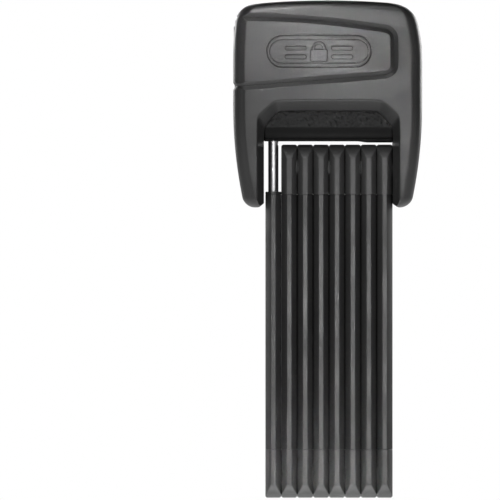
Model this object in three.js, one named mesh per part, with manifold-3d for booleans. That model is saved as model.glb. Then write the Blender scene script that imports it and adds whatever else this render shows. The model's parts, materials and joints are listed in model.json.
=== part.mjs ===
// Folding bike lock: eight hinged steel bars, folded flat between the two arms of a lock housing.
// Millimetres, +Z up, the front of the lock faces -Y.
// The origin is the centre of the panel on the housing's back.
// Below, Y = 0 is the bars' middle plane and Z = 0 lies a little above the housing's middle.
import * as THREE from 'three';
import { mergeVertices } from 'three/addons/utils/BufferGeometryUtils.js';
import Module from 'manifold-3d';

const wasm = await Module();
wasm.setup();

// ---------------------------------------------------------------- driving dimensions
const GAP = 0.3; // between two pieces that touch
const REACH = 100; // a cutter that has to pass right through
const FINEST = 0.004; // slivers and edges finer than this are closed up

const BAR_COUNT = 8;
const RIVET_PITCH = 150; // rivet to rivet along one bar
const BAR_PITCH = 7.75; // bar to bar across the folded pack
const PACK_CENTRE_X = 0.7;
const TOP_RIVET_Z = -47.5;
const BOTTOM_RIVET_Z = TOP_RIVET_Z - RIVET_PITCH;

const STEEL_THICKNESS = 5;
const STEEL_WIDTH = 16;
const CAP = { thickness: BAR_PITCH - GAP, width: 22.2, endRadius: 11.9, endHeight: 11.1, length: 13.2 };
const SLEEVE = { thickness: 7.2, width: 21.6 };
const FACET = { capHalf: 1.2, sleeveHalf: 1.0, flankDepth: 4 }; // the narrow flat down each bar's edge
const RELIEF = { depth: 0.55, halfHeight: 4.2 }; // lens-shaped hollow in a cap's side, at its rivet

const RIVET = { radius: 4, headRadius: 5.6, headThickness: 1.2, shoulderRadius: 5 };
const RIVET_HOLE = RIVET.radius + GAP;
const HEAD_SEAT = { radius: RIVET.headRadius + 0.4, depth: RIVET.headThickness + GAP };

const HOUSING = {
  halfWidth: 46,
  halfDepth: 20,
  top: 33.8,
  bottom: -67,
  edgeRadius: 6, // down the sides
  topRadius: 4, // over the top, seen from the side
  armEndRadius: 5, // under the arms
  cornerRadius: 8, // the two top corners, seen from the front
  topBow: 0.0013, // how fast the top edge falls away from its middle
  leanFrom: 6, // above this the sides lean in, the right one more than the left
  leanLeft: 0.0027,
  leanRight: 0.0057,
};
const RECESS = {
  centreX: 0.5,
  halfWidth: 31.5,
  top: -20,
  cornerX: 23.6,
  cornerZ: -28.2,
  chamferSide: 3.3,
  chamferTop: 5.1,
  chamferDepth: 6,
  flareZ: -65.1, // below this the arms' inner corners are cut away
};
const GROOVE = {
  halfWidth: 1.9,
  depth: 1.6,
  rightX: 32.4,
  leftTopZ: 25.6,
  topFall: 0.00105, // the upper run curves down to the right
  leftBottomZ: -8.5,
  bottomRise: 0.08, // the lower run climbs to the right
};
const BACK_PANEL_Z = 9; // the height of the back panel's middle
const EMBLEM = {
  x: -4.2,
  z: 8.9,
  halfWidth: 25.7,
  halfHeight: 8.1,
  line: 0.7,
  depth: 0.4,
  bodyHalf: 4, // the padlock's body
  bodyLow: -4.6,
  bodyHigh: 0.9,
  shackleZ: 1.6,
  shackleRadius: 2.6,
  shackleHalf: 0.5,
  keyholeZ: -1.8,
  keyholeRadius: 0.9,
};

const LINER = {
  halfWidth: 31.2,
  halfDepth: 13,
  bottom: -34.7,
  top: -15.2,
  edgeRadius: 7,
  wall: 0.9,
  floor: 2,
};
const STEP = { fromX: 17, halfDepth: 5, drop: 0.6 }; // the low step under the liner, over the first two bars
const BLOCK = {
  left: -35,
  right: 33,
  halfDepth: 14,
  bottom: -14.5,
  top: 24,
  footHalfWidth: 30,
  footHalfDepth: 10.4,
};
const ROD = {
  halfWidth: 4.5,
  tipZ: -6,
  baseZ: -63,
  neckLow: -14.8,
  neckHigh: -9.4,
  neckHalfWidth: 2.5,
};
const CYLINDER = { z: 3, shellRadius: 8.5, rotorRadius: 6.2, front: -41.6, back: -30.2 };
const CAM = { halfLong: 6, halfShort: 3.7, boreRadius: 2.8 };
const BOLT = { noseAt: 5.3, outer: 9.4, travel: 2.3 }; // across the rod, drawn back
const BEZEL = { z: 8.5, halfWidth: 8.5, halfHeight: 13, front: -45.7, back: -43.9 };
const SHUTTER = { halfWidth: 3.2, halfHeight: 5, travel: 9, flangeHalfWidth: 4.8, flangeThickness: 1 };
const ANCHOR = { left: 33.6, right: 38.6, halfDepth: 9, bottom: -57, top: 5 };
const SCREWS = [
  { name: 'cover_screw_top_left', x: -39.5, z: 23 },
  { name: 'cover_screw_top_right', x: 39.5, z: 21 },
  { name: 'cover_screw_arm_left', x: -37, z: -60 },
  { name: 'cover_screw_arm_right', x: 37, z: -61.2 },
];
const SCREW = { radius: 1.5, headRadius: 2.8, headThickness: 2, length: 20, sink: 0.8, socketRadius: 1.4 };

const CAP_TOP_SEAM_Z = TOP_RIVET_Z - CAP.length;
const CAP_BOTTOM_SEAM_Z = BOTTOM_RIVET_Z + CAP.length - 0.7;

const barX = (number) => PACK_CENTRE_X + ((BAR_COUNT + 1) / 2 - number) * BAR_PITCH;
const ROD_X = barX(BAR_COUNT);

// ---------------------------------------------------------------- materials
const material = (color, roughness, metalness) =>
  new THREE.MeshStandardMaterial({ color, roughness, metalness });
const MATERIALS = {
  housing: material(0x4b4c4d, 0.55, 0),
  liner: material(0x1c1d1d, 0.75, 0),
  cap: material(0x3c3d3d, 0.5, 0),
  sleeve: material(0x2e2f2f, 0.45, 0),
  steel: material(0x8a8d90, 0.35, 1),
  rod: material(0xe8e8ea, 0.12, 1),
  zinc: material(0x9a9c9e, 0.5, 1),
  brass: material(0xb59a55, 0.35, 1),
  blackSteel: material(0x1a1a1b, 0.45, 1),
};

// ---------------------------------------------------------------- solids from three.js geometry
function toSolid(geometry) {
  const bare = geometry.index ? geometry.toNonIndexed() : geometry.clone();
  bare.deleteAttribute('normal');
  bare.deleteAttribute('uv');
  const merged = mergeVertices(bare, 1e-4);
  return new wasm.Manifold(
    new wasm.Mesh({
      numProp: 3,
      vertProperties: merged.attributes.position.array,
      triVerts: new Uint32Array(merged.index.array),
    }),
  );
}

function toGeometry(solid) {
  const mesh = solid.simplify(FINEST).getMesh();
  const positions = new Float32Array(mesh.numVert * 3);
  for (let i = 0; i < mesh.numVert; i++) {
    positions.set(mesh.vertProperties.subarray(i * mesh.numProp, i * mesh.numProp + 3), i * 3);
  }
  const geometry = new THREE.BufferGeometry();
  geometry.setAttribute('position', new THREE.BufferAttribute(positions, 3));
  geometry.setIndex(new THREE.BufferAttribute(mesh.triVerts, 1));
  geometry.computeVertexNormals();
  return geometry;
}

function box([x0, x1], [y0, y1], [z0, z1]) {
  const geometry = new THREE.BoxGeometry(x1 - x0, y1 - y0, z1 - z0);
  return toSolid(geometry.translate((x0 + x1) / 2, (y0 + y1) / 2, (z0 + z1) / 2));
}

// A flat outline pushed along one axis. The outline's two numbers are the other two axes, in X, Y, Z order.
function prism(outline, axis, from, to) {
  const shape = new THREE.Shape(outline.map(([u, v]) => new THREE.Vector2(u, v)));
  const geometry = new THREE.ExtrudeGeometry(shape, { depth: to - from, bevelEnabled: false });
  if (axis === 'x') geometry.rotateX(Math.PI / 2).rotateZ(Math.PI / 2).translate(from, 0, 0);
  if (axis === 'y') geometry.rotateX(Math.PI / 2).translate(0, to, 0);
  if (axis === 'z') geometry.translate(0, 0, from);
  return toSolid(geometry);
}

function cylinderX(radius, [x0, x1], y, z, segments = 16) {
  const geometry = new THREE.CylinderGeometry(radius, radius, x1 - x0, segments);
  return toSolid(geometry.rotateZ(Math.PI / 2).translate((x0 + x1) / 2, y, z));
}

function cylinderY(radius, [y0, y1], x, z, segments = 14) {
  const geometry = new THREE.CylinderGeometry(radius, radius, y1 - y0, segments);
  return toSolid(geometry.translate(x, (y0 + y1) / 2, z));
}

// A turned piece on an axis along X: the profile is a list of [distance along X, radius].
function turnedX(profile, y, z, segments = 18) {
  const points = profile.map(([along, radius]) => new THREE.Vector2(radius, along));
  return toSolid(new THREE.LatheGeometry(points, segments).rotateZ(-Math.PI / 2).translate(0, y, z));
}

// Rings of equal length joined into one closed body, with a fan over each end.
function loft(rings) {
  const count = rings[0].length;
  const positions = rings.flat().flat();
  const index = [];
  for (let r = 0; r < rings.length - 1; r++) {
    for (let i = 0; i < count; i++) {
      const a = r * count + i;
      const b = r * count + ((i + 1) % count);
      index.push(a, b, b + count, a, b + count, a + count);
    }
  }
  for (const [ring, order] of [[0, -1], [rings.length - 1, 1]]) {
    const centre = positions.length / 3;
    for (const axis of [0, 1, 2]) positions.push(rings[ring].reduce((sum, p) => sum + p[axis], 0) / count);
    for (let i = 0; i < count; i++) {
      const pair = [ring * count + i, ring * count + ((i + 1) % count)];
      if (order < 0) pair.reverse();
      index.push(...pair, centre);
    }
  }
  const geometry = new THREE.BufferGeometry();
  geometry.setAttribute('position', new THREE.BufferAttribute(new Float32Array(positions), 3));
  geometry.setIndex(index);
  return toSolid(geometry);
}

const joined = (solids) => solids.reduce((all, solid) => all.add(solid));

// An outline with a half-round end at each end of its long direction, as [across, along] pairs.
function slotOutline(halfAcross, halfAlong, centre = [0, 0], steps = 6) {
  const straight = halfAlong - halfAcross;
  const outline = [];
  for (const end of [0, 1]) {
    for (let i = 0; i <= steps; i++) {
      const angle = Math.PI * (end + i / steps);
      outline.push([
        centre[0] + halfAcross * Math.cos(angle),
        centre[1] + halfAcross * Math.sin(angle) + (end ? -straight : straight),
      ]);
    }
  }
  return outline;
}

// ---------------------------------------------------------------- the folding bars
// A bar's outline across its length: a narrow flat facet at the front and back, and flanks that spread out
// to full thickness.
function barSection(halfThickness, halfWidth, facetHalf, reachY = halfWidth, hollow = { left: 0, right: 0 }) {
  const spread = halfThickness - facetHalf;
  const flank = [
    [halfThickness, halfWidth - FACET.flankDepth],
    [facetHalf + 0.55 * spread, halfWidth - 0.28 * FACET.flankDepth],
    [facetHalf, halfWidth],
  ];
  const halfAt = (y) => {
    for (let i = 0; i < flank.length - 1; i++) {
      const [x0, y0] = flank[i];
      const [x1, y1] = flank[i + 1];
      if (y >= y0 && y <= y1) return x0 + ((x1 - x0) * (y - y0)) / (y1 - y0);
    }
    return halfThickness;
  };
  const ys = flank.map(([, y], i) => Math.min(y, reachY - (flank.length - 1 - i) * 0.02));
  const quarter = ys.map((y) => [halfAt(y), y]);
  const right = (x) => Math.min(x, halfThickness - hollow.right);
  const left = (x) => -Math.min(x, halfThickness - hollow.left);
  return [
    ...quarter.map(([x, y]) => [right(x), y]),
    ...quarter.toReversed().map(([x, y]) => [left(x), y]),
    ...quarter.map(([x, y]) => [left(x), -y]),
    ...quarter.toReversed().map(([x, y]) => [right(x), -y]),
  ];
}

// A moulded end cap with its rivet at z = 0 and its round end up. side is +1 where the next bar is to the
// right.
function endCapBody(side, length) {
  const half = CAP.thickness / 2;
  const levels = [-length, -8];
  for (let i = -2; i <= 2; i++) levels.push((i / 2) * RELIEF.halfHeight);
  const cornerZ = Math.sqrt(CAP.endRadius ** 2 - (CAP.width / 2) ** 2);
  levels.push(cornerZ);
  for (let i = 1; i <= 3; i++) levels.push(cornerZ + ((CAP.endHeight - cornerZ) * i) / 3);
  const rings = levels.map((z) => {
    const reachY = z > cornerZ ? Math.sqrt(CAP.endRadius ** 2 - z ** 2) : CAP.width / 2;
    const hollow = Math.max(0, RELIEF.depth * (1 - (z / RELIEF.halfHeight) ** 2));
    const hollows = side > 0 ? { right: hollow, left: 0 } : { right: 0, left: hollow };
    return barSection(half, CAP.width / 2, FACET.capHalf, reachY, hollows).map(([x, y]) => [x, y, z]);
  });
  const pocket = prism(
    slotOutline(STEEL_WIDTH / 2 + GAP, STEEL_WIDTH / 2 + GAP + length, [0, -length], 10),
    'x',
    -STEEL_THICKNESS / 2 - GAP,
    STEEL_THICKNESS / 2 + GAP,
  );
  const shoulderHole = cylinderX(RIVET.shoulderRadius + 0.4, side > 0 ? [0, half + 1] : [-half - 1, 0], 0, 0);
  return loft(rings).subtract(pocket).subtract(shoulderHole);
}

function topCap(number) {
  const side = number % 2 ? 1 : -1;
  return endCapBody(side, CAP.length - GAP / 2).translate(barX(number), 0, TOP_RIVET_Z);
}

function bottomCap(number) {
  const side = number % 2 ? -1 : 1;
  const length = CAP_BOTTOM_SEAM_Z - BOTTOM_RIVET_Z - GAP / 2;
  return endCapBody(-side, length).rotate([0, 180, 0]).translate(barX(number), 0, BOTTOM_RIVET_Z);
}

function steelPocket(x, z0, z1) {
  const halfX = STEEL_THICKNESS / 2 + GAP;
  const halfY = STEEL_WIDTH / 2 + GAP;
  return box([x - halfX, x + halfX], [-halfY, halfY], [z0, z1]);
}

function sleeve(number) {
  const x = barX(number);
  const z0 = CAP_BOTTOM_SEAM_Z + GAP / 2;
  const z1 = CAP_TOP_SEAM_Z - GAP / 2;
  const ring = barSection(SLEEVE.thickness / 2, SLEEVE.width / 2, FACET.sleeveHalf);
  const outer = loft([z0, z1].map((z) => ring.map(([u, y]) => [x + u, y, z])));
  return outer.subtract(steelPocket(x, z0 - 1, z1 + 1));
}

// The hole for a rivet, with a seat for its head in the face away from the next bar.
function rivetHole(x, side, z) {
  const outerFace = x - side * (STEEL_THICKNESS / 2);
  const seat = [outerFace + side * HEAD_SEAT.depth, outerFace - side].sort((a, b) => a - b);
  return cylinderX(RIVET_HOLE, [x - 4, x + 4], 0, z).add(cylinderX(HEAD_SEAT.radius, seat, 0, z));
}

function steelBar(number) {
  const x = barX(number);
  const sides = [x - STEEL_THICKNESS / 2, x + STEEL_THICKNESS / 2];
  const middle = (TOP_RIVET_Z + BOTTOM_RIVET_Z) / 2;
  const outline = slotOutline(STEEL_WIDTH / 2, (STEEL_WIDTH + RIVET_PITCH) / 2, [0, middle], 10);
  const topSide = number % 2 ? 1 : -1;
  return prism(outline, 'x', ...sides)
    .subtract(rivetHole(x, topSide, TOP_RIVET_Z))
    .subtract(rivetHole(x, -topSide, BOTTOM_RIVET_Z));
}

// The rod's outline, this much larger all round, at one height.
function rodRing(grow, z) {
  const outline = slotOutline(STEEL_THICKNESS / 2 + grow, ROD.halfWidth + grow, [0, 0], 8);
  return outline.map(([u, y]) => [ROD_X + u, y, z]);
}

// The last bar: its top runs on as the locking rod, with a neck that the two bolts close on.
function lockingBar() {
  const middle = (TOP_RIVET_Z + BOTTOM_RIVET_Z) / 2;
  const outline = slotOutline(STEEL_WIDTH / 2, (STEEL_WIDTH + RIVET_PITCH) / 2, [0, middle], 10);
  const plate = prism(outline, 'x', ROD_X - STEEL_THICKNESS / 2, ROD_X + STEEL_THICKNESS / 2)
    .subtract(box([-REACH, REACH], [-REACH, REACH], [ROD.baseZ + 1, 0]))
    .subtract(rivetHole(ROD_X, 1, BOTTOM_RIVET_Z));
  const tipLevels = [
    [ROD.baseZ, 0],
    [ROD.tipZ - 2, 0],
    [ROD.tipZ - 0.7, 0.4],
    [ROD.tipZ, 1.4],
  ];
  const rod = loft(tipLevels.map(([z, inset]) => rodRing(-inset, z)));
  const notch = (from, to) => box([ROD_X - 4, ROD_X + 4], [from, to], [ROD.neckLow, ROD.neckHigh]);
  return plate.add(rod).subtract(notch(ROD.neckHalfWidth, 6)).subtract(notch(-6, -ROD.neckHalfWidth));
}

const rodSlot = (clearance, z0, z1) =>
  prism(slotOutline(STEEL_THICKNESS / 2 + clearance, ROD.halfWidth + clearance, [ROD_X, 0], 8), 'z', z0, z1);

function rodCollar() {
  const z0 = CAP_TOP_SEAM_Z + GAP / 2;
  const ring = barSection(SLEEVE.thickness / 2, SLEEVE.width / 2, FACET.sleeveHalf);
  const outer = loft([z0, z0 + 1.3].map((z) => ring.map(([u, y]) => [ROD_X + u, y, z])));
  return outer.subtract(rodSlot(GAP, z0 - 1, z0 + 3));
}

// A shouldered rivet between two steel faces, peened into a seat at each end.
function rivet(leftCentre, rightFaces, z) {
  const left = leftCentre - STEEL_THICKNESS / 2;
  const shoulderLeft = leftCentre + STEEL_THICKNESS / 2 + GAP / 2;
  const shoulderRight = rightFaces.inner - GAP / 2;
  return turnedX(
    [
      [left, 0],
      [left, RIVET.headRadius],
      [left + RIVET.headThickness, RIVET.headRadius],
      [left + RIVET.headThickness, RIVET.radius],
      [shoulderLeft, RIVET.radius],
      [shoulderLeft, RIVET.shoulderRadius],
      [shoulderRight, RIVET.shoulderRadius],
      [shoulderRight, RIVET.radius],
      [rightFaces.outer - RIVET.headThickness, RIVET.radius],
      [rightFaces.outer - RIVET.headThickness, RIVET.headRadius],
      [rightFaces.outer, RIVET.headRadius],
      [rightFaces.outer, 0],
    ],
    0,
    z,
    14,
  );
}

// Rivet 1 joins bar 1 to the housing's anchor plate; rivet n joins bar n to bar n - 1.
function numberedRivet(number) {
  const z = number % 2 ? TOP_RIVET_Z : BOTTOM_RIVET_Z;
  const right = barX(number - 1);
  const faces =
    number === 1
      ? { inner: ANCHOR.left, outer: ANCHOR.right }
      : { inner: right - STEEL_THICKNESS / 2, outer: right + STEEL_THICKNESS / 2 };
  return rivet(barX(number), faces, z);
}

// ---------------------------------------------------------------- the housing
function housingHalfWidth(z, side) {
  const below = Math.max(0, -18 - z);
  const above = Math.max(0, z - HOUSING.leanFrom);
  const lean = side < 0 ? HOUSING.leanLeft : HOUSING.leanRight;
  return HOUSING.halfWidth - 0.0023 * below ** 2 - lean * above ** 2;
}

function housingHalfDepth(z) {
  const below = Math.max(0, -15 - z);
  return HOUSING.halfDepth - 0.0013 * below ** 2;
}

function topDrop(x, z) {
  const share = Math.min(1, Math.max(0, (z - 5) / 25));
  return HOUSING.topBow * x * x * share;
}

// How far a rounded end of the given radius has drawn in, this far short of its tip.
const drawnIn = (radius, toTip) =>
  radius - Math.sqrt(Math.max(0, radius ** 2 - Math.max(0, radius - toTip) ** 2));

function housingRing(z) {
  const toTop = HOUSING.top - z;
  const toBottom = z - HOUSING.bottom;
  const r = HOUSING.edgeRadius;
  const atArmEnd = drawnIn(HOUSING.armEndRadius, toBottom);
  const insetX = drawnIn(HOUSING.cornerRadius, toTop) + atArmEnd;
  const halfY = housingHalfDepth(z) - drawnIn(HOUSING.topRadius, toTop) - atArmEnd - r;
  const ring = [];
  for (let quarter = 0; quarter < 4; quarter++) {
    const signX = quarter === 0 || quarter === 3 ? 1 : -1;
    const signY = quarter < 2 ? 1 : -1;
    const halfX = housingHalfWidth(z, signX) - insetX - r;
    for (let i = 0; i <= 4; i++) {
      const angle = (quarter + i / 4) * (Math.PI / 2);
      ring.push([signX * halfX + r * Math.cos(angle), signY * halfY + r * Math.sin(angle)]);
    }
    const across = quarter === 0 ? [24, 0, -24] : quarter === 2 ? [-24, 0, 24] : [];
    for (const x of across) ring.push([x, signY * (halfY + r)]);
  }
  return ring.map(([x, y]) => [x, y, z - topDrop(x, z)]);
}

function housingBlock() {
  const ends = [0.03, 0.6, 2, 4.2];
  const levels = [
    ...ends.map((inset) => HOUSING.bottom + inset),
    ...[-61, -52, -42, -32, -23, -15, 0, 12, 20],
    ...[HOUSING.cornerRadius - 1, ...ends.toReversed()].map((inset) => HOUSING.top - inset),
  ];
  return loft(levels.map(housingRing));
}

// The arch between the arms, as [x, z] points. share 0 is its inner edge and 1 the outer edge of its chamfer.
function archOutline(share) {
  const side = RECESS.halfWidth + share * RECESS.chamferSide;
  const top = RECESS.top + share * RECESS.chamferTop;
  const cornerX = RECESS.cornerX + share * 1.5;
  const cornerZ = RECESS.cornerZ + share * RECESS.chamferTop;
  const flare = RECESS.chamferSide * (1 - share);
  const half = [
    [side + 2 * flare, HOUSING.bottom - 2],
    [side, RECESS.flareZ - 1.9 * share],
    [side, -52],
    [side, cornerZ - 2],
    [side - 0.8, cornerZ + 1],
    [cornerX + 1.8, top - 1],
    [cornerX - 1.2, top],
  ];
  const both = [...half, ...half.toReversed().map(([x, z]) => [-x, z])];
  return both.map(([x, z]) => [x + RECESS.centreX, z]);
}

function archCutter() {
  const chamfer = (side) => {
    const ring = (share, past) =>
      archOutline(share).map(([x, z]) => [x, side * (housingHalfDepth(z) + past), z]);
    const overshoot = 0.25;
    const inner = ring(-0.02, -RECESS.chamferDepth * 1.02);
    const outer = ring(1 + overshoot, RECESS.chamferDepth * overshoot);
    return loft(side > 0 ? [outer, inner] : [inner, outer]);
  };
  return joined([prism(archOutline(0), 'y', -REACH, REACH), chamfer(-1), chamfer(1)]);
}

// The V groove round the raised panel: along the front, round the left corner and on to the parting plane.
function grooveCutter() {
  const r = HOUSING.edgeRadius;
  const startX = -HOUSING.halfWidth + r;
  const topZ = (x) => GROOVE.leftTopZ - GROOVE.topFall * (x + HOUSING.halfWidth) ** 2;
  const bottomZ = (x) => GROOVE.leftBottomZ + GROOVE.bottomRise * (x + HOUSING.halfWidth);
  const turnX = GROOVE.rightX - 5;
  const path = new THREE.Path();
  path.moveTo(startX, topZ(startX));
  path.quadraticCurveTo(startX + 30, topZ(startX) + 0.3, turnX, topZ(turnX));
  path.quadraticCurveTo(GROOVE.rightX, topZ(turnX) - 1, GROOVE.rightX, topZ(turnX) - 5.5);
  path.lineTo(GROOVE.rightX, bottomZ(turnX) + 5);
  path.quadraticCurveTo(GROOVE.rightX, bottomZ(turnX) + 0.7, turnX, bottomZ(turnX));
  path.lineTo(startX, bottomZ(startX));
  const front = -HOUSING.halfDepth;
  const stations = [];
  const side = (z, across) => {
    const lean = HOUSING.halfWidth - housingHalfWidth(z, -1);
    stations.push({ at: [-HOUSING.halfWidth + lean, -GAP / 4, z], out: [-1, 0], across });
    for (const share of [1, 2 / 3, 1 / 3]) {
      const angle = (share * Math.PI) / 2;
      const out = [-Math.sin(angle), -Math.cos(angle)];
      stations.push({ at: [startX + (r - lean * share) * out[0], front + r + r * out[1], z], out, across });
    }
  };
  side(topZ(startX), [0, 1]);
  const points = path.getPoints(6);
  points.forEach((point, i) => {
    const before = points[Math.max(0, i - 1)];
    const after = points[Math.min(points.length - 1, i + 1)];
    const run = after.clone().sub(before).normalize();
    stations.push({ at: [point.x, front, point.y], out: [0, -1], across: [-run.y, run.x] });
  });
  const ahead = stations.length;
  side(bottomZ(startX), [0, -1]);
  stations.push(...stations.splice(ahead).reverse());
  const rings = stations.map(({ at, out, across }) => {
    const point = (sideways, outward) => [
      at[0] + across[0] * sideways + out[0] * outward,
      at[1] + out[1] * outward,
      at[2] + across[1] * sideways,
    ];
    const lip = 0.4;
    const lipHalf = GROOVE.halfWidth * (1 + lip / GROOVE.depth);
    return [point(-lipHalf, lip), point(0, -GROOVE.depth), point(lipHalf, lip)];
  });
  return loft(rings);
}

function housingCavity() {
  const main = box(
    [BLOCK.left - GAP, ANCHOR.left - GAP],
    [-BLOCK.halfDepth - GAP, BLOCK.halfDepth + GAP],
    [BLOCK.bottom - GAP, BLOCK.top + GAP],
  );
  const airGap = box([-31, 29], [-16.8, 16.8], [-6, 20]);
  const throat = box(
    [RECESS.centreX - RECESS.halfWidth, RECESS.centreX + RECESS.halfWidth],
    [-LINER.halfDepth - GAP, LINER.halfDepth + GAP],
    [LINER.bottom - 5, BLOCK.bottom],
  );
  const anchorSlot = box(
    [ANCHOR.left - GAP - 0.01, ANCHOR.right + GAP],
    [-ANCHOR.halfDepth - GAP, ANCHOR.halfDepth + GAP],
    [ANCHOR.bottom - GAP, ANCHOR.top + GAP],
  );
  const rivetWay = cylinderX(RIVET.shoulderRadius + 0.4, [RECESS.halfWidth - 2, ANCHOR.left], 0, TOP_RIVET_Z);
  const cylinderLength = [CYLINDER.front - GAP, BLOCK.left];
  const cylinderWay = cylinderX(CYLINDER.shellRadius + GAP, cylinderLength, 0, CYLINDER.z, 24);
  const bezelWay = prism(
    slotOutline(BEZEL.halfWidth + GAP, BEZEL.halfHeight + GAP, [0, BEZEL.z], 10),
    'x',
    -HOUSING.halfWidth - 5,
    BEZEL.back + GAP,
  );
  const track = box(
    [BEZEL.back, CYLINDER.front],
    [-SHUTTER.flangeHalfWidth - GAP, SHUTTER.flangeHalfWidth + GAP],
    [CYLINDER.z - SHUTTER.halfHeight - 1, CYLINDER.z + SHUTTER.halfHeight + SHUTTER.travel + 1],
  );
  return joined([main, airGap, throat, anchorSlot, rivetWay, cylinderWay, bezelWay, track]);
}

function screwBores() {
  return joined(
    SCREWS.map(({ x, z }) => {
      const back = housingHalfDepth(z) - SCREW.sink;
      const head = [back - SCREW.headThickness - GAP, REACH];
      return cylinderY(SCREW.radius + GAP, [back - SCREW.length - 1, back], x, z).add(
        cylinderY(SCREW.headRadius + GAP, head, x, z),
      );
    }),
  );
}

function covers() {
  const groove = grooveCutter();
  const whole = housingBlock()
    .subtract(archCutter())
    .subtract(groove)
    .subtract(groove.mirror([0, 1, 0]))
    .subtract(housingCavity())
    .subtract(screwBores());
  const half = (y) => whole.intersect(box([-REACH, REACH], y, [-REACH, REACH]));
  const front = half([-REACH, -GAP / 2]).subtract(emblemFrame()).add(emblemPadlock());
  return { front, back: half([GAP / 2, REACH]) };
}

function screw({ x, z }) {
  const back = housingHalfDepth(z) - SCREW.sink;
  const neck = back - SCREW.headThickness;
  const body = cylinderY(SCREW.radius, [back - SCREW.length, neck + 0.01], x, z).add(
    cylinderY(SCREW.headRadius, [neck, back], x, z),
  );
  return body.subtract(cylinderY(SCREW.socketRadius, [back - 1.2, back + 1], x, z, 6));
}

// The panel's emblem: a round-ended frame cut into it, and a small padlock standing up inside.
function emblemFrame() {
  const { x, z, halfWidth, halfHeight, line } = EMBLEM;
  const ring = (inset) => {
    const upright = slotOutline(halfHeight - inset, halfWidth - inset, [z, x], 6);
    return upright.map(([u, v]) => [v, u]).reverse();
  };
  const floor = -HOUSING.halfDepth + EMBLEM.depth;
  return prism(ring(0), 'y', -REACH, floor).subtract(prism(ring(line), 'y', -REACH, REACH));
}

function emblemPadlock() {
  const { x, z, bodyHalf, bodyLow, bodyHigh, shackleRadius, shackleHalf } = EMBLEM;
  const face = [-HOUSING.halfDepth - EMBLEM.depth, -HOUSING.halfDepth + 1];
  const through = [-REACH, REACH];
  const shackleZ = z + EMBLEM.shackleZ;
  const body = box([x - bodyHalf, x + bodyHalf], face, [z + bodyLow, z + bodyHigh]);
  const shackle = cylinderY(shackleRadius + shackleHalf, face, x, shackleZ)
    .subtract(cylinderY(shackleRadius - shackleHalf, through, x, shackleZ))
    .intersect(box(through, through, [shackleZ - 0.1, REACH]));
  const legs = [x - shackleRadius, x + shackleRadius].map((legX) =>
    box([legX - shackleHalf, legX + shackleHalf], face, [z, shackleZ]),
  );
  const keyhole = cylinderY(EMBLEM.keyholeRadius, through, x, z + EMBLEM.keyholeZ, 10);
  return joined([body, shackle, ...legs]).subtract(keyhole);
}

// ---------------------------------------------------------------- what the housing holds
function recessLiner() {
  const r = LINER.edgeRadius;
  const half = LINER.halfDepth;
  const outline = [[half, LINER.top]];
  for (let i = 0; i <= 5; i++) {
    const angle = ((i / 5) * Math.PI) / 2;
    outline.push([half - r + r * Math.cos(angle), LINER.bottom + r - r * Math.sin(angle)]);
  }
  const shell = [...outline, ...outline.toReversed().map(([y, z]) => [-y, z])].reverse();
  const [left, right] = [RECESS.centreX - LINER.halfWidth, RECESS.centreX + LINER.halfWidth];
  const outer = prism(shell, 'x', left, right);
  const padHeights = [LINER.bottom - STEP.drop, LINER.bottom + 1];
  const pad = box([STEP.fromX, right], [-STEP.halfDepth, STEP.halfDepth], padHeights);
  const inside = box(
    [left + LINER.wall, right - LINER.wall],
    [-BLOCK.footHalfDepth - GAP, BLOCK.footHalfDepth + GAP],
    [LINER.bottom + LINER.floor, LINER.top + 1],
  );
  const mouth = loft([rodRing(1.6, LINER.bottom - 0.5), rodRing(GAP, LINER.bottom + 1.1)]);
  return outer.add(pad).subtract(inside).subtract(rodSlot(GAP, -REACH, 0)).subtract(mouth);
}

const POCKET = { left: ROD_X - 2.9, right: ROD_X + 2.9, halfDepth: 11.8, low: ROD.neckLow - 0.3 };

function lockBlock() {
  const body = box([BLOCK.left, BLOCK.right], [-BLOCK.halfDepth, BLOCK.halfDepth], [BLOCK.bottom, BLOCK.top]);
  const foot = box(
    [RECESS.centreX - BLOCK.footHalfWidth, RECESS.centreX + BLOCK.footHalfWidth],
    [-BLOCK.footHalfDepth, BLOCK.footHalfDepth],
    [LINER.bottom + LINER.floor + GAP, BLOCK.bottom + 1],
  );
  const pocketHeights = [BLOCK.bottom + 0.2, BLOCK.top + 1];
  const pocket = box([POCKET.left, POCKET.right], [-POCKET.halfDepth, POCKET.halfDepth], pocketHeights);
  const boreLength = [BLOCK.left - 1, POCKET.left + 0.5];
  const cylinderBore = cylinderX(CYLINDER.shellRadius + GAP, boreLength, 0, CYLINDER.z, 24);
  return body.add(foot).subtract(pocket).subtract(cylinderBore).subtract(rodSlot(GAP, -REACH, 0));
}

// Closes the top of the pocket that the cam and bolts are fitted through.
function pocketPlug() {
  const depth = [-POCKET.halfDepth + GAP, POCKET.halfDepth - GAP];
  return box([POCKET.left + GAP, POCKET.right - GAP], depth, [14, BLOCK.top]);
}

function anchorPlate() {
  const plate = prism(
    [
      [-ANCHOR.halfDepth, ANCHOR.top],
      [-ANCHOR.halfDepth, ANCHOR.bottom + 5],
      [-4, ANCHOR.bottom],
      [4, ANCHOR.bottom],
      [ANCHOR.halfDepth, ANCHOR.bottom + 5],
      [ANCHOR.halfDepth, ANCHOR.top],
    ],
    'x',
    ANCHOR.left,
    ANCHOR.right,
  );
  const centre = (ANCHOR.left + ANCHOR.right) / 2;
  return plate.subtract(rivetHole(centre, -1, TOP_RIVET_Z));
}

function cylinderShell() {
  const outer = cylinderX(CYLINDER.shellRadius, [CYLINDER.front, CYLINDER.back], 0, CYLINDER.z, 24);
  return outer.subtract(cylinderX(CYLINDER.rotorRadius + GAP, [-REACH, 0], 0, CYLINDER.z, 24));
}

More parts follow.
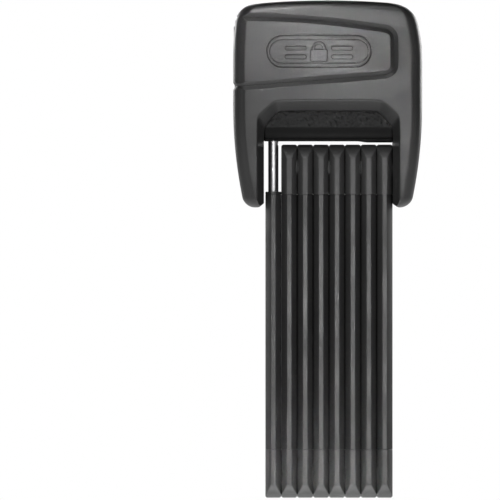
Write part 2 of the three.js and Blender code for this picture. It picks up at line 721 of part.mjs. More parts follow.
function keyRotor() {
  const tailEnd = POCKET.right - 0.6;
  const barrel = cylinderX(CYLINDER.rotorRadius, [CYLINDER.front + 0.4, CYLINDER.back], 0, CYLINDER.z, 24);
  const tail = cylinderX(CAM.boreRadius - GAP, [CYLINDER.back - 1, tailEnd], 0, CYLINDER.z, 14);
  const keyway = box(
    [CYLINDER.front - 1, CYLINDER.front + 10],
    [-1.1, 1.1],
    [CYLINDER.z - 4, CYLINDER.z + 4],
  );
  return barrel.add(tail).subtract(keyway);
}

function driveCam() {
  const outline = Array.from({ length: 28 }, (_, i) => {
    const angle = (i / 28) * 2 * Math.PI;
    return [CAM.halfLong * Math.cos(angle), CYLINDER.z + CAM.halfShort * Math.sin(angle)];
  });
  return prism(outline, 'x', ROD_X - 2.4, ROD_X + 2.2).subtract(
    cylinderX(CAM.boreRadius, [-REACH, 0], 0, CYLINDER.z, 14),
  );
}

// side is -1 for the front bolt and +1 for the back one. Drawn back, as they are with the lock open.
function lockingBolt(side) {
  const x = [ROD_X - 2.4, ROD_X + 2.4];
  const span = (near, far) => [side * near, side * far].sort((a, b) => a - b);
  const nose = box(x, span(BOLT.noseAt, BOLT.outer), [ROD.neckLow + 0.5, ROD.neckHigh - 0.5]);
  const leg = box(x, span(ROD.halfWidth + BOLT.travel + 0.4, BOLT.outer), [ROD.neckHigh - 1, ROD.tipZ + 1.5]);
  const heel = box(x, span(CAM.halfLong + 0.5, BOLT.outer), [ROD.tipZ + 1, CYLINDER.z + 4]);
  return joined([nose, leg, heel]);
}

// A short coil behind each bolt's nose.
function boltSpring(side) {
  class Helix extends THREE.Curve {
    getPoint(t, target = new THREE.Vector3()) {
      const angle = t * 2.5 * 2 * Math.PI;
      return target.set(1.5 * Math.cos(angle), side * (9.95 + t * 1.3), 1.5 * Math.sin(angle));
    }
  }
  const wire = new THREE.Shape().absarc(0, 0, 0.22, 0, 2 * Math.PI);
  const coil = new THREE.ExtrudeGeometry(wire, { extrudePath: new Helix(), steps: 30, curveSegments: 3 });
  return toSolid(coil.translate(ROD_X, 0, (ROD.neckLow + ROD.neckHigh) / 2));
}

const SHUTTER_Z = [CYLINDER.z - SHUTTER.halfHeight, CYLINDER.z + SHUTTER.halfHeight];

function keyholeBezel() {
  const outline = slotOutline(BEZEL.halfWidth, BEZEL.halfHeight, [0, BEZEL.z], 10);
  const plate = prism(outline, 'x', BEZEL.front, BEZEL.back);
  const window = [SHUTTER_Z[0] - GAP, SHUTTER_Z[1] + SHUTTER.travel + GAP];
  return plate.subtract(box([-REACH, 0], [-SHUTTER.halfWidth - GAP, SHUTTER.halfWidth + GAP], window));
}

// Slides up in the bezel's window. Its flange runs behind the bezel.
function keyholeShutter() {
  const behind = BEZEL.back + GAP;
  const plate = box([BEZEL.front + 0.7, behind + 0.1], [-SHUTTER.halfWidth, SHUTTER.halfWidth], SHUTTER_Z);
  const flangeHalf = SHUTTER.flangeHalfWidth;
  const flange = box([behind, behind + SHUTTER.flangeThickness], [-flangeHalf, flangeHalf], SHUTTER_Z);
  const ribs = [-3, 0, 3].map((offset) => {
    const z = CYLINDER.z + offset;
    return box([BEZEL.front + 0.1, BEZEL.front + 0.8], [-2.4, 2.4], [z - 0.5, z + 0.5]);
  });
  return joined([plate, flange, ...ribs]);
}

// ---------------------------------------------------------------- the assembly
const lock = new THREE.Group();
lock.position.set(0, -HOUSING.halfDepth, -BACK_PANEL_Z);

function place(name, solid, finish) {
  const mesh = new THREE.Mesh(toGeometry(solid), finish);
  mesh.name = name;
  lock.add(mesh);
}

const { front, back } = covers();
place('front_cover', front, MATERIALS.housing);
place('back_cover', back, MATERIALS.housing);
for (const spot of SCREWS) place(spot.name, screw(spot), MATERIALS.blackSteel);
place('recess_liner', recessLiner(), MATERIALS.liner);
place('lock_block', lockBlock(), MATERIALS.zinc);
place('pocket_plug', pocketPlug(), MATERIALS.zinc);
place('anchor_plate', anchorPlate(), MATERIALS.steel);
place('keyhole_bezel', keyholeBezel(), MATERIALS.blackSteel);
place('keyhole_shutter', keyholeShutter(), MATERIALS.liner);
place('cylinder_shell', cylinderShell(), MATERIALS.brass);
place('key_rotor', keyRotor(), MATERIALS.brass);
place('drive_cam', driveCam(), MATERIALS.steel);
place('bolt_front', lockingBolt(-1), MATERIALS.steel);
place('bolt_back', lockingBolt(1), MATERIALS.steel);
place('bolt_spring_front', boltSpring(-1), MATERIALS.steel);
place('bolt_spring_back', boltSpring(1), MATERIALS.steel);

for (let number = 1; number <= BAR_COUNT; number++) {
  const last = number === BAR_COUNT;
  if (last) place(`steel_bar_${number}`, lockingBar(), MATERIALS.rod);
  else place(`steel_bar_${number}`, steelBar(number), MATERIALS.steel);
  place(`sleeve_${number}`, sleeve(number), MATERIALS.sleeve);
  if (last) place('rod_collar', rodCollar(), MATERIALS.sleeve);
  else place(`cap_top_${number}`, topCap(number), MATERIALS.cap);
  place(`cap_bottom_${number}`, bottomCap(number), MATERIALS.cap);
  place(`rivet_${number}`, numberedRivet(number), MATERIALS.steel);
}

export default lock;
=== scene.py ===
"""Folding bike lock: eight hinged bars, folded flat between the arms of a lock housing.

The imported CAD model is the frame. Most of its nodes get a finer stand-in here, and the rest keep their shape.
Shapes are worked out in millimetres from the plane between the covers, and loft() moves them to the frame.
"""
from contextlib import contextmanager
import json
import math
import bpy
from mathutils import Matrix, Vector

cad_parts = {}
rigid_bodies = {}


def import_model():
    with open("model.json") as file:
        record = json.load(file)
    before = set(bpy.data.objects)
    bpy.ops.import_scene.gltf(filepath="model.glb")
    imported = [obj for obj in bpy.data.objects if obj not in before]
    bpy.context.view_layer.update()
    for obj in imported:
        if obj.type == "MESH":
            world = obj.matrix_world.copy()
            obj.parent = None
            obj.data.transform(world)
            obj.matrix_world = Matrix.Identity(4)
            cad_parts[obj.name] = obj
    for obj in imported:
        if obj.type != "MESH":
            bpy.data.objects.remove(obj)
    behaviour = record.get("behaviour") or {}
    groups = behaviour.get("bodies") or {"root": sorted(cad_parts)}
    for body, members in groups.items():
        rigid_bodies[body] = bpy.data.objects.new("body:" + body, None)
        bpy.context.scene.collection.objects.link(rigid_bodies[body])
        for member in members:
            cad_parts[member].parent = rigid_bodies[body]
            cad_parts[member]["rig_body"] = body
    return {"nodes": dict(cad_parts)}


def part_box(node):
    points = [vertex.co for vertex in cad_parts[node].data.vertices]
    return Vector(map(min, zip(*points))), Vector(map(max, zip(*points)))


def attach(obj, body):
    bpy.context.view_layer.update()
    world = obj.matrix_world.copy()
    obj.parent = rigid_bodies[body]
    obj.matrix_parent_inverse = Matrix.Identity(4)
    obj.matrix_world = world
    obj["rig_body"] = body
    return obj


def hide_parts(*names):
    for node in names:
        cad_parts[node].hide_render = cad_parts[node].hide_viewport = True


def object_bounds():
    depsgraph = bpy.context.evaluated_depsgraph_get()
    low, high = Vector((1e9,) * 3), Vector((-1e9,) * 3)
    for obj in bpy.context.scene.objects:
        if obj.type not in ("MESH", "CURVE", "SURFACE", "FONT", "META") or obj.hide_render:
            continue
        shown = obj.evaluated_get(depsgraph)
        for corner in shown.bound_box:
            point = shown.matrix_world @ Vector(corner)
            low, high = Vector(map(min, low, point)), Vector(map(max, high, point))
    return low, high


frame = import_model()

from types import SimpleNamespace as Sizes

import bmesh
import bpy
from mathutils import Vector, noise

cad_low, cad_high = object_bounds()

# ---------------------------------------------------------------- sizes, in millimetres
MM = 0.001
GAP = 0.3
REACH = 100
BAR_COUNT = 8

HALF_WIDTH, HALF_DEPTH = 46, 20
TOP, BOTTOM = 33.8, -67
EDGE_RADIUS, TOP_RADIUS, ARM_END_RADIUS, CORNER_RADIUS = 6, 4, 5, 8

STEEL_THICKNESS, STEEL_WIDTH = 5, 16
CAP = Sizes(half=3.865, half_width=11.1, facet=1.1, fullness=1.22)
CAP_END = Sizes(radius=12.0, height=11.1)
SLEEVE = Sizes(half=3.85, half_width=10.8, facet=0.98, fullness=1.08)
TIP_RADIUS = 1.15  # the two corners of a cap's tip, seen from the front
SEAM = 0.04  # between a cap and its sleeve
FLANK_DEPTH = 4
RELIEF = Sizes(depth=0.66, half_height=4.2, ledge=0.42)
SHOULDER_RADIUS = 5

RECESS = Sizes(
    centre=0.37, side=31.37, top=-20, corner_x=23.6, corner_z=-28.2,
    chamfer_side=3.3, chamfer_top=5.1, flare_z=-65.1,
)
GROOVE = Sizes(
    half=1.95, depth=1.15, right=32.4, left_top=25.6, top_fall=0.00105,
    left_bottom=-8.5, bottom_rise=0.08,
)
EMBLEM = Sizes(x=-4.2, z=8.9, half_width=25.7, half_height=8.1, depth=0.4)
SHACKLE = Sizes(z=1.6, radius=2.6, inner=1.9, outer=3.3)  # its z is above the emblem's centre
LINER = Sizes(
    half_depth=13, bottom=-34.7, top=-15.2, radius=7, wall=0.9, floor=2,
    plain_below=-27.9, grid=0.42,
)
STEP = Sizes(from_x=17, half_depth=5, drop=0.6)
ROD = Sizes(
    edge_radius=2.3, half_width=4.5, tip=-6, base=-63, neck_low=-14.8, neck_high=-9.4,
    neck_half=2.5,
)
BLOCK = Sizes(left=-35, bottom=-14.5, top=24, half_depth=14, foot_half_depth=10.4)
CYLINDER = Sizes(z=3, radius=8.5, front=-41.6)
BEZEL = Sizes(z=8.5, half_width=8.5, half_height=13, front=-45.7, back=-43.9)
SHUTTER = Sizes(half_width=3.2, half_height=5, travel=9, flange_half=4.8, flange=1)
ANCHOR = Sizes(left=33.6, right=38.6, half_depth=9, bottom=-57, top=5)
SCREW = Sizes(radius=1.5, head_radius=2.8, head=2, length=20, sink=0.8, socket=1.4)
SCREW_NODES = [f"cover_screw_{place}" for place in ("top_left", "top_right", "arm_left", "arm_right")]

# Where the millimetre zero lies in the frame. Its depth is the plane between the covers.
cover_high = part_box("front_cover")[1]
ORIGIN = Vector((0, cover_high.y / MM + GAP / 2, cover_high.z / MM - TOP))


def node_centre(node):
    low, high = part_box(node)
    return (low + high) / 2 / MM - ORIGIN


BAR_X = {n: node_centre(f"sleeve_{n}").x for n in range(1, BAR_COUNT + 1)}
TOP_RIVET_Z = node_centre("rivet_1").z
BOTTOM_RIVET_Z = node_centre("rivet_2").z
TOP_SEAM_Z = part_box("sleeve_1")[1].z / MM - ORIGIN.z + GAP / 2
BOTTOM_SEAM_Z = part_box("sleeve_1")[0].z / MM - ORIGIN.z - GAP / 2
ROD_X = BAR_X[BAR_COUNT]


# ---------------------------------------------------------------- mesh building
def add_object(name, data):
    piece = bpy.data.objects.new(name, data)
    bpy.context.scene.collection.objects.link(piece)
    return piece


@contextmanager
def editing(piece):
    """A bmesh to edit, written back to the piece at the end."""
    work = bmesh.new()
    work.from_mesh(piece.data)
    yield work
    work.to_mesh(piece.data)
    work.free()


def loft(rings, closed=False):
    """Rings of equal length joined into one body. closed joins the last ring to the first."""
    count = len(rings[0])
    points = [(Vector(point) + ORIGIN) * MM for ring in rings for point in ring]
    faces = []
    for r in range(len(rings) if closed else len(rings) - 1):
        after = (r + 1) % len(rings)
        for i in range(count):
            j = (i + 1) % count
            faces.append((r * count + i, r * count + j, after * count + j, after * count + i))
    if not closed:
        faces.append(tuple(reversed(range(count))))
        faces.append(tuple(range((len(rings) - 1) * count, len(rings) * count)))
    mesh = bpy.data.meshes.new("piece")
    mesh.from_pydata(points, [], faces)
    piece = add_object("piece", mesh)
    with editing(piece) as work:
        bmesh.ops.recalc_face_normals(work, faces=work.faces)
    return piece


def box_cutter(x, y, z):
    corners = [(x[i], y[j], z[k]) for k in (0, 1) for i, j in ((0, 0), (1, 0), (1, 1), (0, 1))]
    return loft([corners[:4], corners[4:]])


def stack(axis, layers):
    """A body through (place along the axis, outline) layers."""
    place = {
        "x": lambda u, v, w: (w, u, v),
        "y": lambda u, v, w: (u, w, v),
        "z": lambda u, v, w: (u, v, w),
    }[axis]
    return loft([[place(u, v, w) for u, v in outline] for w, outline in layers])


def prism(outline, axis, start, end):
    """A flat outline pushed along one axis."""
    return stack(axis, [(start, outline), (end, outline)])


def circle(radius, centre=(0, 0), steps=32):
    turns = [2 * math.pi * i / steps for i in range(steps)]
    return [(centre[0] + radius * math.cos(a), centre[1] + radius * math.sin(a)) for a in turns]


def stadium(half_across, half_along, centre=(0, 0), steps=12):
    """An outline with a half-round end at each end of its long direction, as (across, along) pairs."""
    straight = half_along - half_across
    outline = []
    for end in (0, 1):
        for i in range(steps + 1):
            angle = math.pi * (end + i / steps)
            along = half_across * math.sin(angle) + (-straight if end else straight)
            outline.append((centre[0] + half_across * math.cos(angle), centre[1] + along))
    return outline


def direction(line, i, closed=True):
    """The unit direction along a line of points, at its point i."""
    last = len(line) - 1
    before, after = (i - 1, (i + 1) % len(line)) if closed else (max(i - 1, 0), min(i + 1, last))
    return (Vector(line[after]) - Vector(line[before])).normalized()


def turned(profile, axis, centre, steps):
    """A body turned from a list of (distance along the axis, radius)."""
    return stack(axis, [(along, circle(max(radius, 0.001), centre, steps)) for along, radius in profile])


def carve(piece, *cutters, operation="DIFFERENCE"):
    """Cuts each cutter out of the piece, or joins or keeps it, and removes the cutter."""
    for cutter in cutters:
        modifier = piece.modifiers.new("cut", "BOOLEAN")
        modifier.operation = operation
        modifier.solver = "MANIFOLD"
        modifier.object = cutter
        apply_modifiers(piece)
        bpy.data.objects.remove(cutter)
    return piece


def join(piece, *others):
    return carve(piece, *others, operation="UNION")


def keep(piece, y0, y1):
    """Keeps what lies between two depths."""
    return carve(piece, box_cutter((-REACH, REACH), (y0, y1), (-REACH, REACH)), operation="INTERSECT")


def apply_modifiers(piece):
    final = bpy.data.meshes.new_from_object(piece.evaluated_get(bpy.context.evaluated_depsgraph_get()))
    piece.modifiers.clear()
    piece.data = final
    final.name = piece.name


def smooth(piece, sharp_angle):
    """Smooth shading with sharp edges kept, weighted so that large flat faces stay flat."""
    smallest = 2e-6
    with editing(piece) as work:
        bmesh.ops.remove_doubles(work, verts=work.verts, dist=smallest)
        bmesh.ops.dissolve_degenerate(work, edges=work.edges, dist=smallest)
    piece.data.shade_smooth()
    piece.data.set_sharp_from_angle(angle=math.radians(sharp_angle))
    modifier = piece.modifiers.new("weights", "WEIGHTED_NORMAL")
    modifier.keep_sharp = True
    modifier.weight = 80
    apply_modifiers(piece)


def stand_in(piece, node, finish, sharp_angle=24):
    """The piece is smoothed, shows in place of a CAD node, and rides on that node's body."""
    smooth(piece, sharp_angle)
    body = frame["nodes"][node]["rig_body"]
    piece.name = f"{node}_fine"
    piece.data.materials.clear()
    piece.data.materials.append(finish)
    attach(piece, body)
    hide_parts(node)


# ---------------------------------------------------------------- materials
class Shade:
    """A material's node tree, with short calls to add and join nodes."""

    def __init__(self, name, **values):
        self.material = bpy.data.materials.new(name)
        self.material.use_nodes = True
        self.tree = self.material.node_tree
        self.shader = self.tree.nodes["Principled BSDF"]
        self.place = self.add("ShaderNodeTexCoord").outputs["Object"]
        for key, value in values.items():
            self.shader.inputs[key.replace("_", " ")].default_value = value

    def add(self, kind, **settings):
        node = self.tree.nodes.new(kind)
        for key, value in settings.items():
            if key in node.inputs:
                node.inputs[key].default_value = value
            else:
                setattr(node, key, value)
        return node

    def link(self, output, target):
        self.tree.links.new(output, target)

    def stretched(self, scale):
        """Object coordinates, squeezed along each axis."""
        mapping = self.add("ShaderNodeMapping")
        mapping.inputs["Scale"].default_value = scale
        self.link(self.place, mapping.inputs["Vector"])
        return mapping.outputs["Vector"]

    def noise(self, scale, detail=3, roughness=0.55, source=None):
        node = self.add("ShaderNodeTexNoise", Scale=scale, Detail=detail, Roughness=roughness)
        self.link(source or self.place, node.inputs["Vector"])
        return node.outputs["Fac"]

    def cells(self, scale):
        node = self.add("ShaderNodeTexVoronoi", Scale=scale)
        self.link(self.place, node.inputs["Vector"])
        return node.outputs["Distance"]

    def ramp(self, factor, low, high, start=0.3, end=0.7):
        """Two colours or greys, from low at start to high at end."""
        node = self.add("ShaderNodeValToRGB")
        for element, position, value in zip(node.color_ramp.elements, (start, end), (low, high)):
            element.position = position
            element.color = grey(value) if isinstance(value, float) else value
        self.link(factor, node.inputs["Fac"])
        return node.outputs["Color"]

    def mix(self, factor, a, b):
        node = self.add("ShaderNodeMix", data_type="RGBA")
        for socket, value in (("Factor", factor), ("A", a), ("B", b)):
            target = [s for s in node.inputs if s.name == socket and s.enabled][0]
            if isinstance(value, bpy.types.NodeSocket):
                self.link(value, target)
            else:
                target.default_value = value
        return [s for s in node.outputs if s.enabled][0]

    def edge_wear(self, radius):
        """A mask that is 1 on the body's edges: where rounding the edges would turn the surface most."""
        rounded = self.add("ShaderNodeBevel", samples=4, Radius=radius)
        geometry = self.add("ShaderNodeNewGeometry")
        dot = self.add("ShaderNodeVectorMath", operation="DOT_PRODUCT")
        self.link(rounded.outputs["Normal"], dot.inputs[0])
        self.link(geometry.outputs["Normal"], dot.inputs[1])
        turned_away = self.add("ShaderNodeMath", operation="SUBTRACT")
        turned_away.inputs[0].default_value = 1
        self.link(dot.outputs["Value"], turned_away.inputs[1])
        return self.ramp(turned_away.outputs["Value"], 0.0, 1.0, 0.02, 0.16)

    def open_to_air(self, distance):
        """A mask that is 0 down in narrow gaps, grooves and seams, and 1 in the open: it paints shade there."""
        node = self.add("ShaderNodeAmbientOcclusion", samples=8, Distance=distance)
        return self.ramp(node.outputs["AO"], 0.0, 1.0, 0.3, 0.8)

    def bump(self, height, strength, distance):
        node = self.add("ShaderNodeBump", Strength=strength, Distance=distance)
        self.link(height, node.inputs["Height"])
        return node.outputs["Normal"]

    def finish(self, colour, roughness, normal=None, gloss=None):
        inputs = {"Base Color": colour, "Roughness": roughness, "Normal": normal, "Specular IOR Level": gloss}
        for name, output in inputs.items():
            if output is not None:
                self.link(output, self.shader.inputs[name])
        return self.material


def grey(value, tint=(1, 1, 1)):
    return (value * tint[0], value * tint[1], value * tint[2], 1)


def moulded_plastic(name, colour, spread, roughness, grain, grain_depth, gap=0.0013):
    """A fine grain, cloudy flow marks, edges rubbed paler and smoother, and painted shade in the narrow gaps."""
    wear, specular, painted_gap_shade = 0.05, 0.5, 0.12
    shade = Shade(name)
    open_ = shade.open_to_air(gap)
    clouds = shade.noise(28, detail=4)
    speckle = shade.noise(grain, detail=2, roughness=0.7)
    base = shade.ramp(clouds, colour * (1 - spread), colour * (1 + spread))
    base = shade.mix(shade.ramp(speckle, 0.0, 0.55, 0.45, 0.75), base, grey(colour * 1.5))
    edges = shade.edge_wear(0.0007)
    scuffs = shade.ramp(shade.noise(160, detail=5), 0.0, 1.0, 0.42, 0.66)
    worn = shade.mix(edges, grey(0.0), scuffs)
    base = shade.mix(worn, base, grey(wear))
    # Painted shade: colour and specular level are darkened down in narrow gaps, grooves and seams.
    base = shade.mix(open_, grey(colour * painted_gap_shade), base)
    gloss = shade.mix(open_, grey(specular * painted_gap_shade), grey(specular))
    rough = shade.ramp(shade.noise(60, detail=3), roughness - 0.06, roughness + 0.06)
    rough = shade.mix(worn, rough, grey(roughness - 0.15))
    normal = shade.bump(shade.noise(grain * 0.9, detail=3, roughness=0.65), 0.35, grain_depth)
    return shade.finish(base, rough, normal, gloss)


def housing_plastic():
    return moulded_plastic("housing_plastic", 0.015, 0.12, 0.36, 2600, 0.00008)


def cap_plastic():
    return moulded_plastic("cap_plastic", 0.036, 0.16, 0.40, 3200, 0.00009, gap=0.0007)


def sleeve_plastic():
    return moulded_plastic("sleeve_plastic", 0.024, 0.12, 0.36, 3600, 0.00005)


def liner_plastic():
    """Softer, darker, duller than the covers: a wrinkled band above, a plain one below with painted shade."""
    shade = Shade("liner_plastic")
    height = shade.add("ShaderNodeSeparateXYZ")
    shade.link(shade.place, height.inputs["Vector"])
    band = shade.add("ShaderNodeMapRange")
    shade.link(height.outputs["Z"], band.inputs["Value"])
    band.inputs["From Min"].default_value = (LINER.plain_below - 0.4 + ORIGIN.z) * MM
    band.inputs["From Max"].default_value = (LINER.plain_below + 0.4 + ORIGIN.z) * MM
    wrinkled = band.outputs["Result"]
    open_ = shade.open_to_air(0.0008)
    base = shade.ramp(shade.noise(28, detail=4), 0.005, 0.009)
    base = shade.mix(shade.ramp(shade.noise(2400, detail=2), 0.0, 0.5, 0.45, 0.75), base, grey(0.012))
    # Painted shade: the plain band faces down under the wrinkled one, and gets a darker colour and lower gloss.
    base = shade.mix(wrinkled, grey(0.003), base)
    gloss = shade.mix(wrinkled, grey(0.13), grey(0.3))
    # Painted shade: gloss darkened down in narrow gaps.
    gloss = shade.mix(open_, grey(0.02), gloss)
    rough = shade.ramp(shade.noise(60, detail=3), 0.46, 0.58)
    normal = shade.bump(shade.noise(2200, detail=3, roughness=0.65), 0.35, 0.0001)
    return shade.finish(base, rough, normal, gloss)


def dust_cover_plastic():
    return moulded_plastic("dust_cover_plastic", 0.016, 0.18, 0.42, 3000, 0.00006)


def metal(name, colour, roughness, tint=(1, 1, 1), brush=(1, 1, 1), spread=0.12, depth=0.00002):
    """Bare or plated metal: fine lines along one direction, cloudy roughness, and a few darker spots."""
    shade = Shade(name, Metallic=1.0)
    lines = shade.noise(900, detail=3, roughness=0.7, source=shade.stretched(brush))
    clouds = shade.noise(90, detail=4)
    base = shade.ramp(clouds, grey(colour * (1 - spread), tint), grey(colour * (1 + spread * 0.5), tint))
    spots = shade.ramp(shade.noise(420, detail=4), 0.0, 0.35, 0.62, 0.72)
    base = shade.mix(spots, base, grey(colour * 0.55, tint))
    rough = shade.ramp(lines, roughness * 0.75, min(1.0, roughness * 1.35))
    return shade.finish(base, rough, shade.bump(lines, 0.25, depth))


def rod_steel():
    """Hard chrome with hairline polishing marks along the rod."""
    return metal("rod_steel", 0.5, 0.32, tint=(1, 1, 1.01), brush=(1, 1, 0.04), spread=0.03, depth=0.000006)


def bar_steel():
    return metal("bar_steel", 0.42, 0.34, brush=(1, 1, 0.08))


def rivet_steel():
    """Nearly black: painted shade for the narrow gaps between the bars, where the rivets show."""
    return metal("rivet_steel", 0.06, 0.5, brush=(0.05, 1, 1))


def block_zinc():
    """Die-cast zinc: a coarse, dull, faintly pitted skin."""
    shade = Shade("block_zinc", Metallic=1.0)
    base = shade.ramp(shade.noise(70, detail=5), 0.30, 0.42)
    pits = shade.ramp(shade.cells(700), 0.0, 1.0, 0.05, 0.35)
    rough = shade.ramp(shade.noise(240, detail=4), 0.42, 0.62)
    return shade.finish(base, rough, shade.bump(pits, 0.3, 0.00006))


def cylinder_brass():
    return metal("cylinder_brass", 0.6, 0.28, tint=(1.15, 0.86, 0.42), brush=(0.05, 1, 1))


def screw_steel():
    """Blackened steel, rubbed bright on its edges."""
    shade = Shade("screw_steel", Metallic=0.9)
    base = shade.ramp(shade.noise(300, detail=4), 0.02, 0.05)
    worn = shade.mix(shade.edge_wear(0.0003), grey(0.0), shade.ramp(shade.noise(700), 0.0, 1.0, 0.35, 0.6))
    base = shade.mix(worn, base, grey(0.3))
    rough = shade.ramp(shade.noise(500, detail=3), 0.3, 0.48)
    return shade.finish(base, rough, shade.bump(shade.noise(1800), 0.2, 0.00002))


def floor_paint():
    """A pale, evenly lit table: it glows a little, so that it stays pale far from the lights."""
    shade = Shade("floor_paint", Emission_Color=(1, 1, 1, 1), Emission_Strength=0.7)
    base = shade.ramp(shade.noise(3, detail=3), 0.78, 0.82)
    rough = shade.ramp(shade.noise(40, detail=3), 0.7, 0.85)
    return shade.finish(base, rough)


# ---------------------------------------------------------------- the housing
def half_width(z, side):
    below = max(0, -18 - z)
    above = max(0, z - 6)
    return HALF_WIDTH - 0.0023 * below**2 - (0.0027 if side < 0 else 0.0057) * above**2


def half_depth(z):
    return HALF_DEPTH - 0.0013 * max(0, -15 - z) ** 2


def top_drop(x, z):
    return 0.0013 * x * x * min(1, max(0, (z - 5) / 25))


def drawn_in(radius, to_tip):
    """How far a rounded end of this radius has drawn in, this far short of its tip."""
    return radius - math.sqrt(max(0, radius**2 - max(0, radius - to_tip) ** 2))


def corner_curve(turn, crisp):
    """A point on a corner between a side face (turn 0) and a broad face (turn 1)."""
    if not crisp:
        return EDGE_RADIUS * math.cos(turn * math.pi / 2), EDGE_RADIUS * math.sin(turn * math.pi / 2)
    steepest = math.radians(66)
    angle = turn * steepest
    across = EDGE_RADIUS * (math.cos(angle) - math.cos(steepest)) / (1 - math.cos(steepest))
    return across, EDGE_RADIUS * math.sin(angle) / math.sin(steepest)


def housing_ring(z):
    to_top = TOP - z
    at_arm_end = drawn_in(ARM_END_RADIUS, z - BOTTOM)
    inset_x = drawn_in(CORNER_RADIUS, to_top) + at_arm_end
    half_y = half_depth(z) - drawn_in(TOP_RADIUS, to_top) - at_arm_end - EDGE_RADIUS
    ring = []
    corner_steps = 14
    across_steps = 20
    for quarter in range(4):
        sign_x = 1 if quarter in (0, 3) else -1
        sign_y = 1 if quarter < 2 else -1
        half_x = half_width(z, sign_x) - inset_x - EDGE_RADIUS
        for i in range(corner_steps + 1):
            turn = i / corner_steps if quarter in (0, 2) else 1 - i / corner_steps
            across, deep = corner_curve(turn, crisp=sign_x < 0)
            ring.append((sign_x * (half_x + across), sign_y * (half_y + deep)))
        if quarter in (0, 2):
            other = -sign_x * (half_width(z, -sign_x) - inset_x - EDGE_RADIUS)
            for i in range(1, across_steps):
                x = sign_x * half_x + (other - sign_x * half_x) * i / across_steps
                ring.append((x, sign_y * (half_y + EDGE_RADIUS)))
    return [(x, y, z - top_drop(x, z)) for x, y in ring]


def housing_block(shrink=1.0):
    """The housing without its openings. shrink draws its outline in, for the rim where the covers meet."""
    ends = (0.02, 0.1, 0.25, 0.5, 0.85, 1.3, 1.9, 2.6, 3.4, 4.2, 5)
    levels = [BOTTOM + inset for inset in ends]
    levels += [BOTTOM + 7 + 4 * i for i in range(22)]
    levels += [TOP - inset for inset in (7.95, 7, 6) + tuple(reversed(ends))]
    middle = (TOP + BOTTOM) / 2
    rings = []
    for level in levels:
        rings.append([(x * shrink, y, middle + (z - middle) * shrink) for x, y, z in housing_ring(level)])
    return loft(rings)


def front_rim():
    """A rim on the front cover that closes the gap to the back one, set in so that only a fine seam shows."""
    rim = carve(housing_block(shrink=0.984), arch_cutter(), *housing_cavities(), *screw_bores())
    reach_in, clearance = 0.3, 0.02
    return keep(rim, -GAP / 2 - reach_in, GAP / 2 - clearance)


def rounded_corners(points, share=0.22, rounds=2):
    """Cuts each corner of an open line a few times, so that it turns in a short curve."""
    for _ in range(rounds):
        finer = [points[0]]
        for a, b in zip(points, points[1:]):
            finer.append(tuple(p + (q - p) * share for p, q in zip(a, b)))
            finer.append(tuple(q + (p - q) * share for p, q in zip(a, b)))
        points = finer + [points[-1]]
    return points


def arch_outline(share):
    """The arch between the arms, as (x, z) points. share is 0 at its inner edge, and 1 at its chamfer's."""
    side = RECESS.side + share * RECESS.chamfer_side
    top = RECESS.top + share * RECESS.chamfer_top
    corner_x = RECESS.corner_x + share * 1.5
    corner_z = RECESS.corner_z + share * RECESS.chamfer_top
    flare = RECESS.chamfer_side * (1 - share)
    flare_z = RECESS.flare_z - 1.9 * share
    cut = [(side + 2 * flare, BOTTOM - 2), (side + 0.12 * flare, flare_z - 0.25), (side, flare_z + 0.25)]
    half = [
        (side, -52),
        (side, corner_z - 2),
        (side - 0.8, corner_z + 1),
        (corner_x + 1.8, top - 1),
        (corner_x - 1.2, top),
        (0, top),
    ]
    line = cut + rounded_corners(half)
    both = line + [(-x, z) for x, z in reversed(line[:-1])]
    return [(x + RECESS.centre, z) for x, z in both]


def arch_cutter():
    """One loft from back to front, with the chamfer's two edges slightly rounded."""
    profile = [
        (1.5, 0.9), (1.16, 0.05), (1.09, -0.05), (1.03, -0.17), (0.97, -0.36), (0.9, -0.68), (0.5, -3.0),
        (0.08, -5.5), (0.035, -5.85), (0.01, -6.2), (0, -6.6),
    ]
    stations = [(share, -1, past) for share, past in profile]
    stations += [(share, 1, past) for share, past in reversed(profile)]
    clear = HALF_DEPTH + 5
    rings = [[(x, -clear, z) for x, z in arch_outline(profile[0][0])]]
    for share, side, past in stations:
        rings.append([(x, side * (half_depth(z) + past), z) for x, z in arch_outline(share)])
    rings.append([(x, clear, z) for x, z in arch_outline(profile[0][0])])
    return loft(rings)


def bezier2(a, b, c, steps):
    points = []
    for i in range(1, steps + 1):
        t = i / steps
        points.append(tuple((1 - t) ** 2 * p + 2 * t * (1 - t) * q + t * t * r for p, q, r in zip(a, b, c)))
    return points


